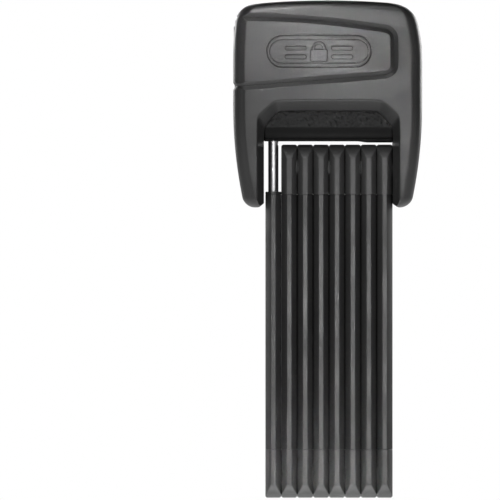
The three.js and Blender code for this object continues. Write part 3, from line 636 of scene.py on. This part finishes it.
def groove_stations():
    """Where the V groove runs: (point, outward direction, sideways direction) all along it."""
    start_x = -HALF_WIDTH + EDGE_RADIUS
    turn_x = GROOVE.right - 5
    right = GROOVE.right

    def top_z(x):
        return GROOVE.left_top - GROOVE.top_fall * (x + HALF_WIDTH) ** 2

    def bottom_z(x):
        return GROOVE.left_bottom + GROOVE.bottom_rise * (x + HALF_WIDTH)

    path = [(start_x, top_z(start_x))]
    path += bezier2(path[-1], (start_x + 30, top_z(start_x) + 0.3), (turn_x, top_z(turn_x)), 24)
    path += bezier2(path[-1], (right, top_z(turn_x) - 1), (right, top_z(turn_x) - 5.5), 14)
    path.append((right, bottom_z(turn_x) + 5))
    path += bezier2(path[-1], (right, bottom_z(turn_x) + 0.7), (turn_x, bottom_z(turn_x)), 14)
    for i in range(1, 13):
        x = turn_x + (start_x - turn_x) * i / 12
        path.append((x, bottom_z(x)))

    def round_corner(z, across):
        lean = HALF_WIDTH - half_width(z, -1)
        stations = [((-HALF_WIDTH + lean, -GAP / 4, z), (-1, 0), across)]
        steps = 10
        for i in range(steps, 0, -1):
            angle = i / steps * math.pi / 2
            out = (-math.sin(angle), -math.cos(angle))
            reach = EDGE_RADIUS - lean * i / steps
            at = (start_x + reach * out[0], -HALF_DEPTH + EDGE_RADIUS + EDGE_RADIUS * out[1], z)
            stations.append((at, out, across))
        return stations

    stations = round_corner(top_z(start_x), (0, 1))
    for i, (x, z) in enumerate(path):
        run = direction(path, i, closed=False)
        stations.append(((x, -HALF_DEPTH, z), (0, -1), (-run.y, run.x)))
    stations += list(reversed(round_corner(bottom_z(start_x), (0, -1))))
    return stations


def groove_cutter(back):
    """The V groove's cutter, flat-walled with its lips just broken. back mirrors it onto the back cover."""
    half, depth = GROOVE.half, GROOVE.depth
    side = [(half + 0.9, 0.5), (half + 0.07, 0.02), (half - 0.07, -0.05)]
    profile = [(-u, v) for u, v in side] + [(0, -depth)] + list(reversed(side))
    rings = []
    for at, out, across in groove_stations():
        ring = []
        for sideways, outward_by in profile:
            x = at[0] + across[0] * sideways + out[0] * outward_by
            y = at[1] + out[1] * outward_by
            ring.append((x, -y if back else y, at[2] + across[1] * sideways))
        rings.append(ring)
    return loft(rings)


def closed_groove(outline, half, depth):
    """A cutter that follows a closed outline of (x, z) points on the front face."""
    side = [(half + 0.05, 0.2), (half, -0.06), (half * 0.8, -depth)]
    profile = [(-u, v) for u, v in side] + list(reversed(side))
    rings = []
    for i, point in enumerate(outline):
        run = direction(outline, i)
        rings.append([(point[0] - run.y * u, -HALF_DEPTH - v, point[1] + run.x * u) for u, v in profile])
    return loft(rings, closed=True)


def emblem_frame(inset_x, inset_z, half, depth):
    """One line of the emblem's round-ended frame."""
    half_height, half_length = EMBLEM.half_height - inset_z, EMBLEM.half_width - inset_x
    outline = stadium(half_height, half_length, (EMBLEM.z, EMBLEM.x), 20)
    points = []
    for i, (z, x) in enumerate(outline):
        z_next, x_next = outline[(i + 1) % len(outline)]
        steps = max(1, round(math.hypot(x_next - x, z_next - z) / 3))
        points += [(x + (x_next - x) * k / steps, z + (z_next - z) * k / steps) for k in range(steps)]
    return closed_groove(points, half, depth)


def raised(outline, lift, bevel=0.14):
    """A low pad on the front face, its top edge chamfered. The outline is a list of (x, z) points."""
    count = len(outline)
    centre = Vector((sum(p[0] for p in outline) / count, sum(p[1] for p in outline) / count))

    def pulled_in(by):
        ring = []
        for i, point in enumerate(outline):
            run = direction(outline, i)
            inward = Vector((-run.y, run.x))
            if inward.dot(centre - Vector(point)) < 0:
                inward = -inward
            ring.append(Vector(point) + inward * by)
        return ring

    foot, shoulder, top = -HALF_DEPTH + 0.6, -HALF_DEPTH - lift + bevel, -HALF_DEPTH - lift
    return stack("y", [(foot, pulled_in(0)), (shoulder, pulled_in(0)), (top, pulled_in(bevel))])


def rounded_box(x0, x1, z0, z1, radius, steps=6):
    left, right, low, high = x0 + radius, x1 - radius, z0 + radius, z1 - radius
    outline = []
    for quarter, (x, z) in enumerate(((right, high), (left, high), (left, low), (right, low))):
        for i in range(steps + 1):
            angle = (quarter + i / steps) * math.pi / 2
            outline.append((x + radius * math.cos(angle), z + radius * math.sin(angle)))
    return outline


def half_circle(radius, x, z):
    turns = [math.pi * i / 20 for i in range(21)]
    return [(x + radius * math.cos(turn), z + radius * math.sin(turn)) for turn in turns]


def emblem_padlock():
    """A small raised padlock: body, shackle and keyhole."""
    x, z = EMBLEM.x, EMBLEM.z
    lift = EMBLEM.depth
    body = raised(rounded_box(x - 4, x + 4, z - 4.6, z + 0.9, 0.7), lift)
    radius, foot = SHACKLE.radius, -0.4
    line = [(radius, foot)] + half_circle(radius, 0, SHACKLE.z) + [(-radius, foot)]
    shoulder = -lift + 0.14
    section = ((-0.5, 0.6), (-0.5, shoulder), (-0.36, -lift), (0.36, -lift), (0.5, shoulder), (0.5, 0.6))
    rings = []
    for i, (across, up) in enumerate(line):
        run = direction(line, i, closed=False)
        rings.append([(x + across - run.y * a, -HALF_DEPTH + b, z + up + run.x * a) for a, b in section])
    join(body, loft(rings))
    keyhole = circle(0.9, (x, z - 1.5), 20)
    slit = [(x - 0.32, z - 1.6), (x + 0.32, z - 1.6), (x + 0.5, z - 3.6), (x - 0.5, z - 3.6)]
    return carve(body, prism(keyhole, "y", -REACH, REACH), prism(slit, "y", -REACH, REACH))


def emblem_bars():
    """Outlines of the short bars on both sides of the padlock, a plain sign for the folding bars."""
    x, z = EMBLEM.x, EMBLEM.z
    for left, right in ((x - 16.4, x - 6.2), (x + 6.2, x + 16.4)):
        for level in (z - 2.6, z + 1.6):
            yield rounded_box(left, right, level - 0.9, level + 0.9, 0.85)


def emblem_moats():
    """Narrow moats round the padlock and the bars, which draw their outlines."""
    x, z = EMBLEM.x, EMBLEM.z
    shackle = half_circle(SHACKLE.outer, x, z + SHACKLE.z)
    shackle += reversed(half_circle(SHACKLE.inner, x, z + SHACKLE.z))
    for outline in (*emblem_bars(), rounded_box(x - 4.1, x + 4.1, z - 4.7, z + 1.0, 0.8), shackle):
        yield closed_groove(outline, 0.2, 0.8)


def rod_outline(clearance):
    return stadium(STEEL_THICKNESS / 2 + clearance, ROD.half_width + clearance, (ROD_X, 0))


def housing_cavities():
    """Room for the block, its plug, the liner, the anchor plate, rivet 1, the cylinder, the bezel and the flange."""
    c, side = RECESS.centre, RECESS.side
    half = BLOCK.half_depth + GAP
    block_z = (BLOCK.bottom - GAP, BLOCK.top + GAP)
    yield box_cutter((BLOCK.left - GAP, ANCHOR.left - GAP), (-half, half), block_z)
    yield box_cutter((-31, 29), (-16.8, 16.8), (-6, 20))
    half = LINER.half_depth + GAP
    yield box_cutter((c - side, c + side), (-half, half), (-39.7, BLOCK.bottom))
    half = ANCHOR.half_depth + GAP
    anchor_x = (ANCHOR.left - GAP - 0.01, ANCHOR.right + GAP)
    yield box_cutter(anchor_x, (-half, half), (ANCHOR.bottom - GAP, ANCHOR.top + GAP))
    yield prism(circle(SHOULDER_RADIUS + 0.4, (0, TOP_RIVET_Z)), "x", side - 2, ANCHOR.left)
    bore = circle(CYLINDER.radius + GAP, (0, CYLINDER.z))
    yield prism(bore, "x", CYLINDER.front - GAP, BLOCK.left)
    yield bezel_way()
    half = SHUTTER.flange_half + GAP
    low = CYLINDER.z - SHUTTER.half_height - 1
    high = CYLINDER.z + SHUTTER.half_height + SHUTTER.travel + 1
    yield box_cutter((BEZEL.back, CYLINDER.front), (-half, half), (low, high))


def bezel_way():
    """The seat of the keyhole bezel in the left side face, with a small chamfer round its mouth."""
    steps = ((-HALF_WIDTH - 5, 3.3), (-HALF_WIDTH - 0.1, 0.7), (-HALF_WIDTH + 0.4, GAP))
    return stack("x", bezel_layers((*steps, (BEZEL.back + GAP, GAP))))


def bezel_layers(steps):
    """The bezel's outline at each x, grown by the number that goes with it."""
    for x, grow in steps:
        yield x, stadium(BEZEL.half_width + grow, BEZEL.half_height + grow, (0, BEZEL.z), 24)


def screw_spots():
    for node in SCREW_NODES:
        centre = node_centre(node)
        yield node, centre.x, centre.z


def screw_bores():
    for _, x, z in screw_spots():
        back = half_depth(z) - SCREW.sink
        yield prism(circle(SCREW.radius + GAP, (x, z), 24), "y", back - SCREW.length - 1, back)
        head, face = SCREW.head_radius + GAP, half_depth(z)
        profile = [(back - SCREW.head - GAP, head), (face - 0.35, head), (face + 2, head + 2.35)]
        yield turned(profile, "y", (x, z), 40)


def covers():
    whole = housing_block()
    carve(whole, arch_cutter(), groove_cutter(back=False), groove_cutter(back=True))
    carve(whole, *housing_cavities())
    carve(whole, *screw_bores())
    back = keep(add_object("piece", whole.data.copy()), GAP / 2, REACH)
    front = join(keep(whole, -REACH, -GAP / 2), front_rim())
    carve(front, emblem_frame(0.35, 0.35, 0.36, 1.0))
    carve(front, emblem_frame(1.7, 2.4, 0.22, 0.9))
    carve(front, *emblem_moats())
    join(front, emblem_padlock())
    join(front, *[raised(bar, EMBLEM.depth - 0.1) for bar in emblem_bars()])
    plastic = housing_plastic()
    stand_in(front, "front_cover", plastic)
    stand_in(back, "back_cover", plastic)


def screws(finish):
    """Threaded screws with a six-lobed socket in the head."""
    for node, x, z in screw_spots():
        back = half_depth(z) - SCREW.sink
        head, radius, tip = SCREW.head_radius, SCREW.radius, back - SCREW.length
        profile = [(tip, 0.4), (tip + 0.6, radius - 0.3)]
        pitch = 0.5
        turns = int((SCREW.length - SCREW.head - 5) / pitch)
        for turn in range(turns):
            start = tip + 1 + turn * pitch
            profile += [(start, radius - 0.25), (start + pitch / 2, radius)]
        neck = back - SCREW.head
        profile += [(tip + 1.2 + turns * pitch, radius - 0.1), (neck - 0.1, radius - 0.1), (neck, radius)]
        profile += [(neck, head - 0.1), (neck + 0.1, head), (back - 0.3, head), (back - 0.1, head - 0.1)]
        profile.append((back, head - 0.35))
        piece = turned(profile, "y", (x, z), 40)
        star, lobes, lobe_depth = [], 6, 0.16
        for i in range(24):
            angle = 2 * math.pi * i / 24
            reach = SCREW.socket - lobe_depth * (1 - math.cos(lobes * angle))
            star.append((x + reach * math.cos(angle), z + reach * math.sin(angle)))
        carve(piece, prism(star, "y", back - 1.3, back + 1))
        stand_in(piece, node, finish)


# ---------------------------------------------------------------- what the housing holds
def liner_profile():
    """(y, z) points, close together, from the front top edge round under to the back top edge."""
    half, r, bottom = LINER.half_depth, LINER.radius, LINER.bottom
    corners = [(-half, LINER.top), (-half, bottom + r)]
    arc_end = math.radians(58)
    for i in range(1, 17):
        angle = i / 16 * arc_end
        corners.append((-half + r - r * math.cos(angle), bottom + r - r * math.sin(angle)))
    lip_y, lip_top = corners[-1][0] + 0.1, bottom + 0.86
    corners += [(lip_y + 0.35, lip_top + 0.12), (lip_y, lip_top)]
    corners += [(lip_y, bottom + 0.16), (lip_y + 0.05, bottom + 0.05), (lip_y + 0.16, bottom)]
    front = []
    for (y0, z0), (y1, z1) in zip(corners, corners[1:]):
        steps = max(1, round(math.hypot(y1 - y0, z1 - z0) / LINER.grid))
        front += [(y0 + (y1 - y0) * i / steps, z0 + (z1 - z0) * i / steps) for i in range(steps)]
    middle_half = -corners[-1][0]
    steps = 2 * round(middle_half / 0.5)
    floor = [(-middle_half + 2 * middle_half * i / steps, bottom) for i in range(steps + 1)]
    back = [(-y, z) for y, z in reversed(front)]
    return front + floor + back


def pebbles(x, y, z):
    """How far the wrinkled grain stands in from the liner's smooth surface: it covers only the upper band."""
    fade = min(1, max(0, z - LINER.plain_below))
    if not fade:
        return 0
    spot = Vector((x * 0.62, y * 0.62, z * 0.78))
    wrinkle = noise.turbulence(spot * 1.1, 3, False)
    cell = noise.voronoi(spot * 1.15)[0][0]
    return fade * min(0.7, 0.45 * wrinkle + 0.5 * cell)


def floor_drop(x):
    """The step under the liner: nothing on the left, and an S curve down to the full drop on the right."""
    start, end = STEP.from_x - 3.2, STEP.from_x + 3.2
    t = min(1, max(0, (x - start) / (end - start)))
    return STEP.drop * t * t * (3 - 2 * t)


def recess_liner():
    half = RECESS.side - 0.02
    left, right = RECESS.centre - half, RECESS.centre + half
    profile = liner_profile()
    columns = round((right - left) / LINER.grid)
    rings = []
    for c in range(columns + 1):
        x = left + (right - left) * c / columns
        round_in = drawn_in(0.35, min(x - left, right - x))
        ring = []
        for y, z in profile:
            inward = pebbles(x, y, z) + round_in
            flat = min(1, max(0, (STEP.half_depth + 1.2 - abs(y)) / 1.2))
            drop = floor_drop(x) * flat * flat * (3 - 2 * flat) if z < LINER.bottom + 0.01 else 0
            toward = Vector((-y, -18 - z)) if z < LINER.bottom + LINER.radius else Vector((-y, 0))
            toward.normalize()
            ring.append((x, y + toward.x * inward, z + toward.y * inward - drop))
        rings.append(ring)
    half = BLOCK.foot_half_depth + GAP
    inside_x = (left + LINER.wall, right - LINER.wall)
    inside = box_cutter(inside_x, (-half, half), (LINER.bottom + LINER.floor, LINER.top + 1))
    piece = carve(loft(rings), inside, prism(rod_outline(GAP), "z", -REACH, 0))
    mouth = ((2.2, -1.0), (1.5, -0.1), (1.15, 0.12), (0.8, 0.5), (GAP, 1.3))
    carve(piece, stack("z", [(LINER.bottom + z, rod_outline(grow)) for grow, z in mouth]))
    stand_in(piece, "recess_liner", liner_plastic(), sharp_angle=50)


def keyhole_bezel(finish):
    """A plate with a rounded rim, a dished face and the window that the shutter slides in."""
    front, back = BEZEL.front, BEZEL.back
    rim = ((0.6, 0.0), (0.25, 0.12), (0.05, 0.4), (0, 0.8), (0.05, 1.3), (0.3, 1.9), (0.35, 2.4))
    piece = stack("x", bezel_layers([(back, 0.0)] + [(front + behind, -inset) for behind, inset in rim]))
    low = CYLINDER.z - SHUTTER.half_height - GAP
    high = CYLINDER.z + SHUTTER.half_height + SHUTTER.travel + GAP
    half = SHUTTER.half_width + GAP
    window = []
    for x, grow in ((front - 1, 1.6), (front + 0.35, 0.25), (front + 0.6, 0), (back + 1, 0)):
        window.append((x, rounded_box(-half - grow, half + grow, low - grow, high + grow, 0.25 + grow)))
    stand_in(carve(piece, stack("x", window)), "keyhole_bezel", finish)


def keyhole_shutter(finish):
    """A sliding plate with a flange behind and three finger ribs."""
    z0, z1 = CYLINDER.z - SHUTTER.half_height, CYLINDER.z + SHUTTER.half_height
    half = SHUTTER.half_width
    behind = BEZEL.back + GAP
    face = BEZEL.front + 0.7
    layers = []
    for x, inset in ((behind + 0.1, 0), (face + 0.2, 0), (face, 0.2)):
        layers.append((x, rounded_box(-half + inset, half - inset, z0 + inset, z1 - inset, 0.22)))
    piece = stack("x", layers)
    flange_half = SHUTTER.flange_half
    flange = box_cutter((behind, behind + SHUTTER.flange), (-flange_half, flange_half), (z0, z1))
    join(piece, flange)
    for offset in (-3, 0, 3):
        rib = []
        for out, inset in ((-0.1, 0), (0.35, 0.05), (0.55, 0.2), (0.6, 0.42)):
            outline = stadium(0.5 - inset, 2.4 - inset, (CYLINDER.z + offset, 0), 8)
            rib.append((face - out, [(y, z) for z, y in outline]))
        join(piece, stack("x", rib))
    stand_in(piece, "keyhole_shutter", finish)


# ---------------------------------------------------------------- the folding bars
def smooth_min(a, b, width):
    """The smaller of two numbers, with the corner between them rounded."""
    h = max(width - abs(a - b), 0) / width
    return min(a, b) - h * h * width / 4


def bar_section(sizes):
    """The closed section of a bar, as (x, y) points. A fullness of 1 makes its flanks flat, and 2 round."""
    half, width, facet = sizes.half, sizes.half_width, sizes.facet
    side_edge = width - FLANK_DEPTH
    quarter = [(half, side_edge * i / 6) for i in range(6)] + [(half, side_edge - 0.02)]
    steps = 18
    for i in range(steps + 1):
        angle = i / steps * math.pi / 2
        along = math.cos(angle) ** (2 / sizes.fullness)
        rise = math.sin(angle) ** (2 / sizes.fullness)
        quarter.append((facet + (half - facet) * along, side_edge + FLANK_DEPTH * rise))
    quarter += [(facet * 0.7, width), (facet * 0.35, width), (0, width)]
    right_front = [(x, -y) for x, y in quarter]
    left_front = [(-x, -y) for x, y in reversed(quarter[:-1])]
    left_back = [(-x, y) for x, y in quarter[1:]]
    right_back = [(x, y) for x, y in reversed(quarter[1:-1])]
    return right_front + left_front + left_back + right_back


def end_cap(x, z, side, up, length):
    """An end cap with its rivet at (x, z). side and up (+1 or -1) say where the hinged bar and the tip are."""
    section = bar_section(CAP)
    levels = [-length, -length + 0.08, -length + 0.2]
    levels += [-length + 0.2 + (length - 4.8) * i / 4 for i in range(1, 5)]
    levels += [-RELIEF.half_height + 0.42 * i for i in range(35)]
    levels += [CAP_END.height - to_tip for to_tip in (0.78, 0.6, 0.44, 0.3, 0.18, 0.08, 0.01)]
    rings = []
    for level in levels:
        from_seam = level + length
        tuck = 0.16 * max(0, 1 - from_seam / 0.2) ** 2
        reach = math.sqrt(CAP_END.radius ** 2 - max(0, level) ** 2)
        lens = max(0, 1 - (level / RELIEF.half_height) ** 2)
        lip, floor_ = RELIEF.depth * lens, (RELIEF.depth - RELIEF.ledge) * lens
        to_tip = CAP_END.height - level
        tip = 0.3 * max(0, 1 - to_tip / 0.4) ** 2
        corner = drawn_in(TIP_RADIUS, to_tip)
        ring = []
        for u, y in section:
            out = math.copysign(min(abs(y), smooth_min(abs(y), reach, 0.1)) if level > 0 else abs(y), y)
            shrink_y = out * (1 - (tuck + tip) / CAP.half_width)
            behind_ledge = abs(y) < CAP.half_width - FLANK_DEPTH - 0.01
            hollow = (floor_ if behind_ledge else lip) if u * side > 0 else 0
            limit = CAP.half - hollow - tuck - corner
            ring.append((x + max(-limit, min(limit, u)), shrink_y, z + up * level))
        rings.append(ring)
    half_hole = STEEL_WIDTH / 2 + GAP
    pocket = stadium(half_hole, half_hole + length, (0, z - up * length), 16)
    hole = circle(SHOULDER_RADIUS + 0.4, (0, z), 40)
    return carve(
        loft(rings),
        prism(pocket, "x", x - STEEL_THICKNESS / 2 - GAP, x + STEEL_THICKNESS / 2 + GAP),
        prism(hole, "x", *sorted((x, x + side * (CAP.half + 1)))),
    )


def coat(x, levels):
    """A body with the sleeves' section, through (z, how far its sides are drawn in) levels."""
    layers = []
    for z, tuck in levels:
        scale_x, scale_y = 1 - tuck / SLEEVE.half, 1 - tuck / SLEEVE.half_width
        layers.append((z, [(x + u * scale_x, y * scale_y) for u, y in bar_section(SLEEVE)]))
    return stack("z", layers)


def sleeve(number):
    """A bar's plastic coat, its two ends slightly rounded over."""
    x = BAR_X[number]
    z0, z1 = BOTTOM_SEAM_Z + SEAM / 2, TOP_SEAM_Z - SEAM / 2
    ends = ((0, 0.16), (0.05, 0.08), (0.14, 0.02), (0.3, 0))
    levels = [(z0 + along, tuck) for along, tuck in ends]
    levels += [(z0 + (z1 - z0) * i / 12, 0) for i in range(1, 12)]
    levels += [(z1 - along, tuck) for along, tuck in reversed(ends)]
    half_x, half_y = STEEL_THICKNESS / 2 + GAP, STEEL_WIDTH / 2 + GAP
    return carve(coat(x, levels), box_cutter((x - half_x, x + half_x), (-half_y, half_y), (z0 - 1, z1 + 1)))


def rod_collar():
    z0 = TOP_SEAM_Z + SEAM / 2
    profile = ((0, 0.14), (0.08, 0.03), (0.2, 0), (0.85, 0), (1.15, 0.08), (1.3, 0.3))
    collar = coat(ROD_X, [(z0 + along, tuck) for along, tuck in profile])
    return carve(collar, prism(rod_outline(GAP), "z", z0 - 1, z0 + 3))


def rivet(number):
    """A shouldered rivet. Its shoulder has a turned groove between two bright lands."""
    low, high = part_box(f"rivet_{number}")
    left, right = low.x / MM - ORIGIN.x, high.x / MM - ORIGIN.x
    z = node_centre(f"rivet_{number}").z
    shoulder_left = BAR_X[number] + STEEL_THICKNESS / 2 + GAP / 2
    shoulder_right = right - STEEL_THICKNESS - GAP / 2
    land = (shoulder_right - shoulder_left) / 2 - 0.5
    head = ((0, 0), (0, 4.9), (0.08, 5.3), (0.3, 5.6), (1.2, 5.6), (1.2, 4))
    shoulder = ((0, 4), (0, 4.9), (0.1, SHOULDER_RADIUS), (land, SHOULDER_RADIUS), (land + 0.08, 4.1))
    profile = [(left + along, radius) for along, radius in head]
    profile += [(shoulder_left + along, radius) for along, radius in shoulder]
    profile += [(shoulder_right - along, radius) for along, radius in reversed(shoulder)]
    profile += [(right - along, radius) for along, radius in reversed(head)]
    return turned(profile, "x", (0, z), 56)


def locking_bar(finish):
    """The last bar's plate and the bright rod above it, with the neck that the bolts close on."""
    left, right = ROD_X - STEEL_THICKNESS / 2, ROD_X + STEEL_THICKNESS / 2
    half = STEEL_WIDTH / 2
    middle = (TOP_RIVET_Z + BOTTOM_RIVET_Z) / 2
    plate = prism(stadium(half, half + (TOP_RIVET_Z - BOTTOM_RIVET_Z) / 2, (0, middle), 24), "x", left, right)
    carve(plate, box_cutter((-REACH, REACH), (-REACH, REACH), (ROD.base + 1, 0)))
    hole = prism(circle(4 + GAP, (0, BOTTOM_RIVET_Z)), "x", left - 1, right + 1)
    seat = prism(circle(6, (0, BOTTOM_RIVET_Z)), "x", left - 1, left + 1.5)
    carve(plate, hole, seat)
    tip = ROD.tip
    rounding = ((tip - 2, 0), (tip - 1.3, 0.1), (tip - 0.7, 0.4), (tip - 0.25, 0.85), (tip, 1.4))
    layers = []
    for z, inset in ((ROD.base, 0), *rounding):
        half_x, half_y = STEEL_THICKNESS / 2 - inset, ROD.half_width - inset
        outline = rounded_box(-half_x, half_x, -half_y, half_y, min(ROD.edge_radius, half_x - 0.01), 12)
        layers.append((z, [(ROD_X + u, y) for u, y in outline]))
    rod = stack("z", layers)
    for notch in ((-6, -ROD.neck_half), (ROD.neck_half, 6)):
        carve(rod, box_cutter((ROD_X - 4, ROD_X + 4), notch, (ROD.neck_low, ROD.neck_high)))
    stand_in(join(plate, rod), "steel_bar_8", finish)


def bars():
    cap_finish, sleeve_finish, rivet_finish = cap_plastic(), sleeve_plastic(), rivet_steel()
    top_length = TOP_RIVET_Z - TOP_SEAM_Z - SEAM / 2
    bottom_length = BOTTOM_SEAM_Z - BOTTOM_RIVET_Z - SEAM / 2
    for number in range(1, BAR_COUNT + 1):
        x = BAR_X[number]
        top_side = 1 if number % 2 else -1
        if number < BAR_COUNT:
            piece = end_cap(x, TOP_RIVET_Z, top_side, 1, top_length)
            stand_in(piece, f"cap_top_{number}", cap_finish)
        piece = end_cap(x, BOTTOM_RIVET_Z, -top_side, -1, bottom_length)
        stand_in(piece, f"cap_bottom_{number}", cap_finish)
        stand_in(sleeve(number), f"sleeve_{number}", sleeve_finish)
        stand_in(rivet(number), f"rivet_{number}", rivet_finish)
    stand_in(rod_collar(), "rod_collar", sleeve_finish)


def finish_cad_nodes():
    """The pieces whose CAD shape stays get their own procedural metal."""
    steel, zinc, brass = bar_steel(), block_zinc(), cylinder_brass()
    finishes = {"lock_block": zinc, "pocket_plug": zinc, "cylinder_shell": brass, "key_rotor": brass}
    bolts = ("bolt_front", "bolt_back", "bolt_spring_front", "bolt_spring_back")
    plates = [f"steel_bar_{number}" for number in range(1, BAR_COUNT)]
    for node in ("anchor_plate", "drive_cam", *bolts, *plates):
        finishes[node] = steel
    for node, finish in finishes.items():
        for holder in frame["nodes"][node].material_slots:
            holder.material = finish


# ---------------------------------------------------------------- the studio
def lamp(name, centre, offset, aim, size, power, spread=180):
    """An area light, or a beam where its spread in degrees is narrow. offset and aim are from the centre."""
    light = bpy.data.lights.new(name, "AREA")
    light.shape = "RECTANGLE"
    light.size, light.size_y = size
    light.energy = power
    light.spread = math.radians(spread)
    holder = add_object(name, light)
    at, target = centre + Vector(offset), centre + Vector(aim)
    holder.location = at
    holder.rotation_euler = (target - at).to_track_quat("-Z", "Y").to_euler()
    holder.visible_camera = False


def studio():
    """Soft boxes all round, with narrow beams that lift the panel, the right arm, the bars and the tips."""
    middle = (cad_low + cad_high) / 2
    housing = Vector((0, HALF_DEPTH * -MM, 0))
    tips = Vector((middle.x, middle.y, cad_low.z))
    lamp("softbox_left", housing, (-0.07, -0.3, 0.14), (-0.02, 0, 0.01), (0.12, 0.1), 0.245)
    lamp("softbox_front", middle, (0.05, -1.2, -0.02), (0, 0, 0), (0.5, 0.4), 2.65)
    lamp("softbox_top", housing, (-0.1, -0.35, 0.35), (0, 0, 0), (0.3, 0.2), 0.5)
    lamp("bounce_below", tips, (0, -0.12, -0.16), (0, 0, 0), (0.2, 0.1), 0.2)
    lamp("beam_panel_left", housing, (-0.12, -0.5, 0.2), (-0.022, 0, 0.012), (0.05, 0.04), 0.0061, 8)
    lamp("beam_panel", housing, (0, -1.2, 0.05), (0.008, 0, 0), (0.04, 0.02), 0.0020, 4)
    lamp("beam_right_arm", housing, (0.25, -0.9, -0.04), (0.03, 0, -0.056), (0.03, 0.03), 0.0006, 4)
    lamp("beam_bars", middle, (0.02, -1.2, -0.03), (0, 0, -0.03), (0.04, 0.08), 0.0021, 7)
    lamp("beam_tips", tips, (0, -0.8, -0.12), (0, 0, 0.01), (0.08, 0.03), 0.0006, 4)
    lamp("beam_tips_left", tips, (-0.35, -0.6, -0.05), (0, 0, 0.015), (0.05, 0.05), 0.013, 6)
    lamp("beam_tips_right", tips, (0.35, -0.6, -0.05), (0, 0, 0.015), (0.05, 0.05), 0.0009, 6)
    lamp("card_left", middle, (-1.2, -0.9, 0), (0, 0, 0), (0.8, 1.2), 1.0)
    lamp("card_right", middle, (1.2, -0.9, 0), (0, 0, 0), (0.8, 1.2), 0.6)
    lamp("side_left", middle, (-1.0, 0.9, 0.35), (0, 0, 0), (0.6, 0.6), 9)
    lamp("side_right", middle, (1.0, 0.9, 0.35), (0, 0, 0), (0.6, 0.6), 9)
    lamp("softbox_back", middle, (0.2, 1.3, 0.45), (0, 0, 0), (0.9, 0.7), 10)
    world = bpy.data.worlds.new("studio")
    world.use_nodes = True
    nodes, links = world.node_tree.nodes, world.node_tree.links
    background = nodes["Background"]
    background.inputs["Color"].default_value = (1, 1, 1, 1)
    seen = nodes.new("ShaderNodeLightPath").outputs["Is Camera Ray"]
    strength = nodes.new("ShaderNodeMapRange")
    ambient, seen_strength = 0.05, 1.0
    strength.inputs["To Min"].default_value = ambient
    strength.inputs["To Max"].default_value = seen_strength
    links.new(seen, strength.inputs["Value"])
    links.new(strength.outputs["Result"], background.inputs["Strength"])
    bpy.context.scene.world = world


def floor():
    """A plain pale floor, low enough for the whole chain to hang unfolded."""
    height, half = -1.3, 9.0
    corners = [(x * half, y * half, height) for x, y in ((-1, -1), (1, -1), (1, 1), (-1, 1))]
    mesh = bpy.data.meshes.new("floor")
    mesh.from_pydata(corners, [], [(0, 1, 2, 3)])
    mesh.materials.append(floor_paint())
    add_object("floor", mesh)


def camera():
    """A long lens straight in front of the folded lock, level with its middle."""
    lens = bpy.data.cameras.new("camera")
    holder = add_object("camera", lens)
    distance, view_width = 6.0, 0.24375
    true_size_plane = -0.026
    lens.sensor_width = 36
    lens.lens = lens.sensor_width * distance / view_width
    holder.location = (-0.0378, true_size_plane - distance, -0.0968)
    holder.rotation_euler = (math.pi / 2, 0, 0)
    bpy.context.scene.camera = holder
    bpy.context.scene.view_settings.view_transform = "Standard"


camera()
floor()
studio()
covers()
recess_liner()
blackened = screw_steel()
screws(blackened)
keyhole_bezel(blackened)
keyhole_shutter(dust_cover_plastic())
locking_bar(rod_steel())
bars()
finish_cad_nodes()
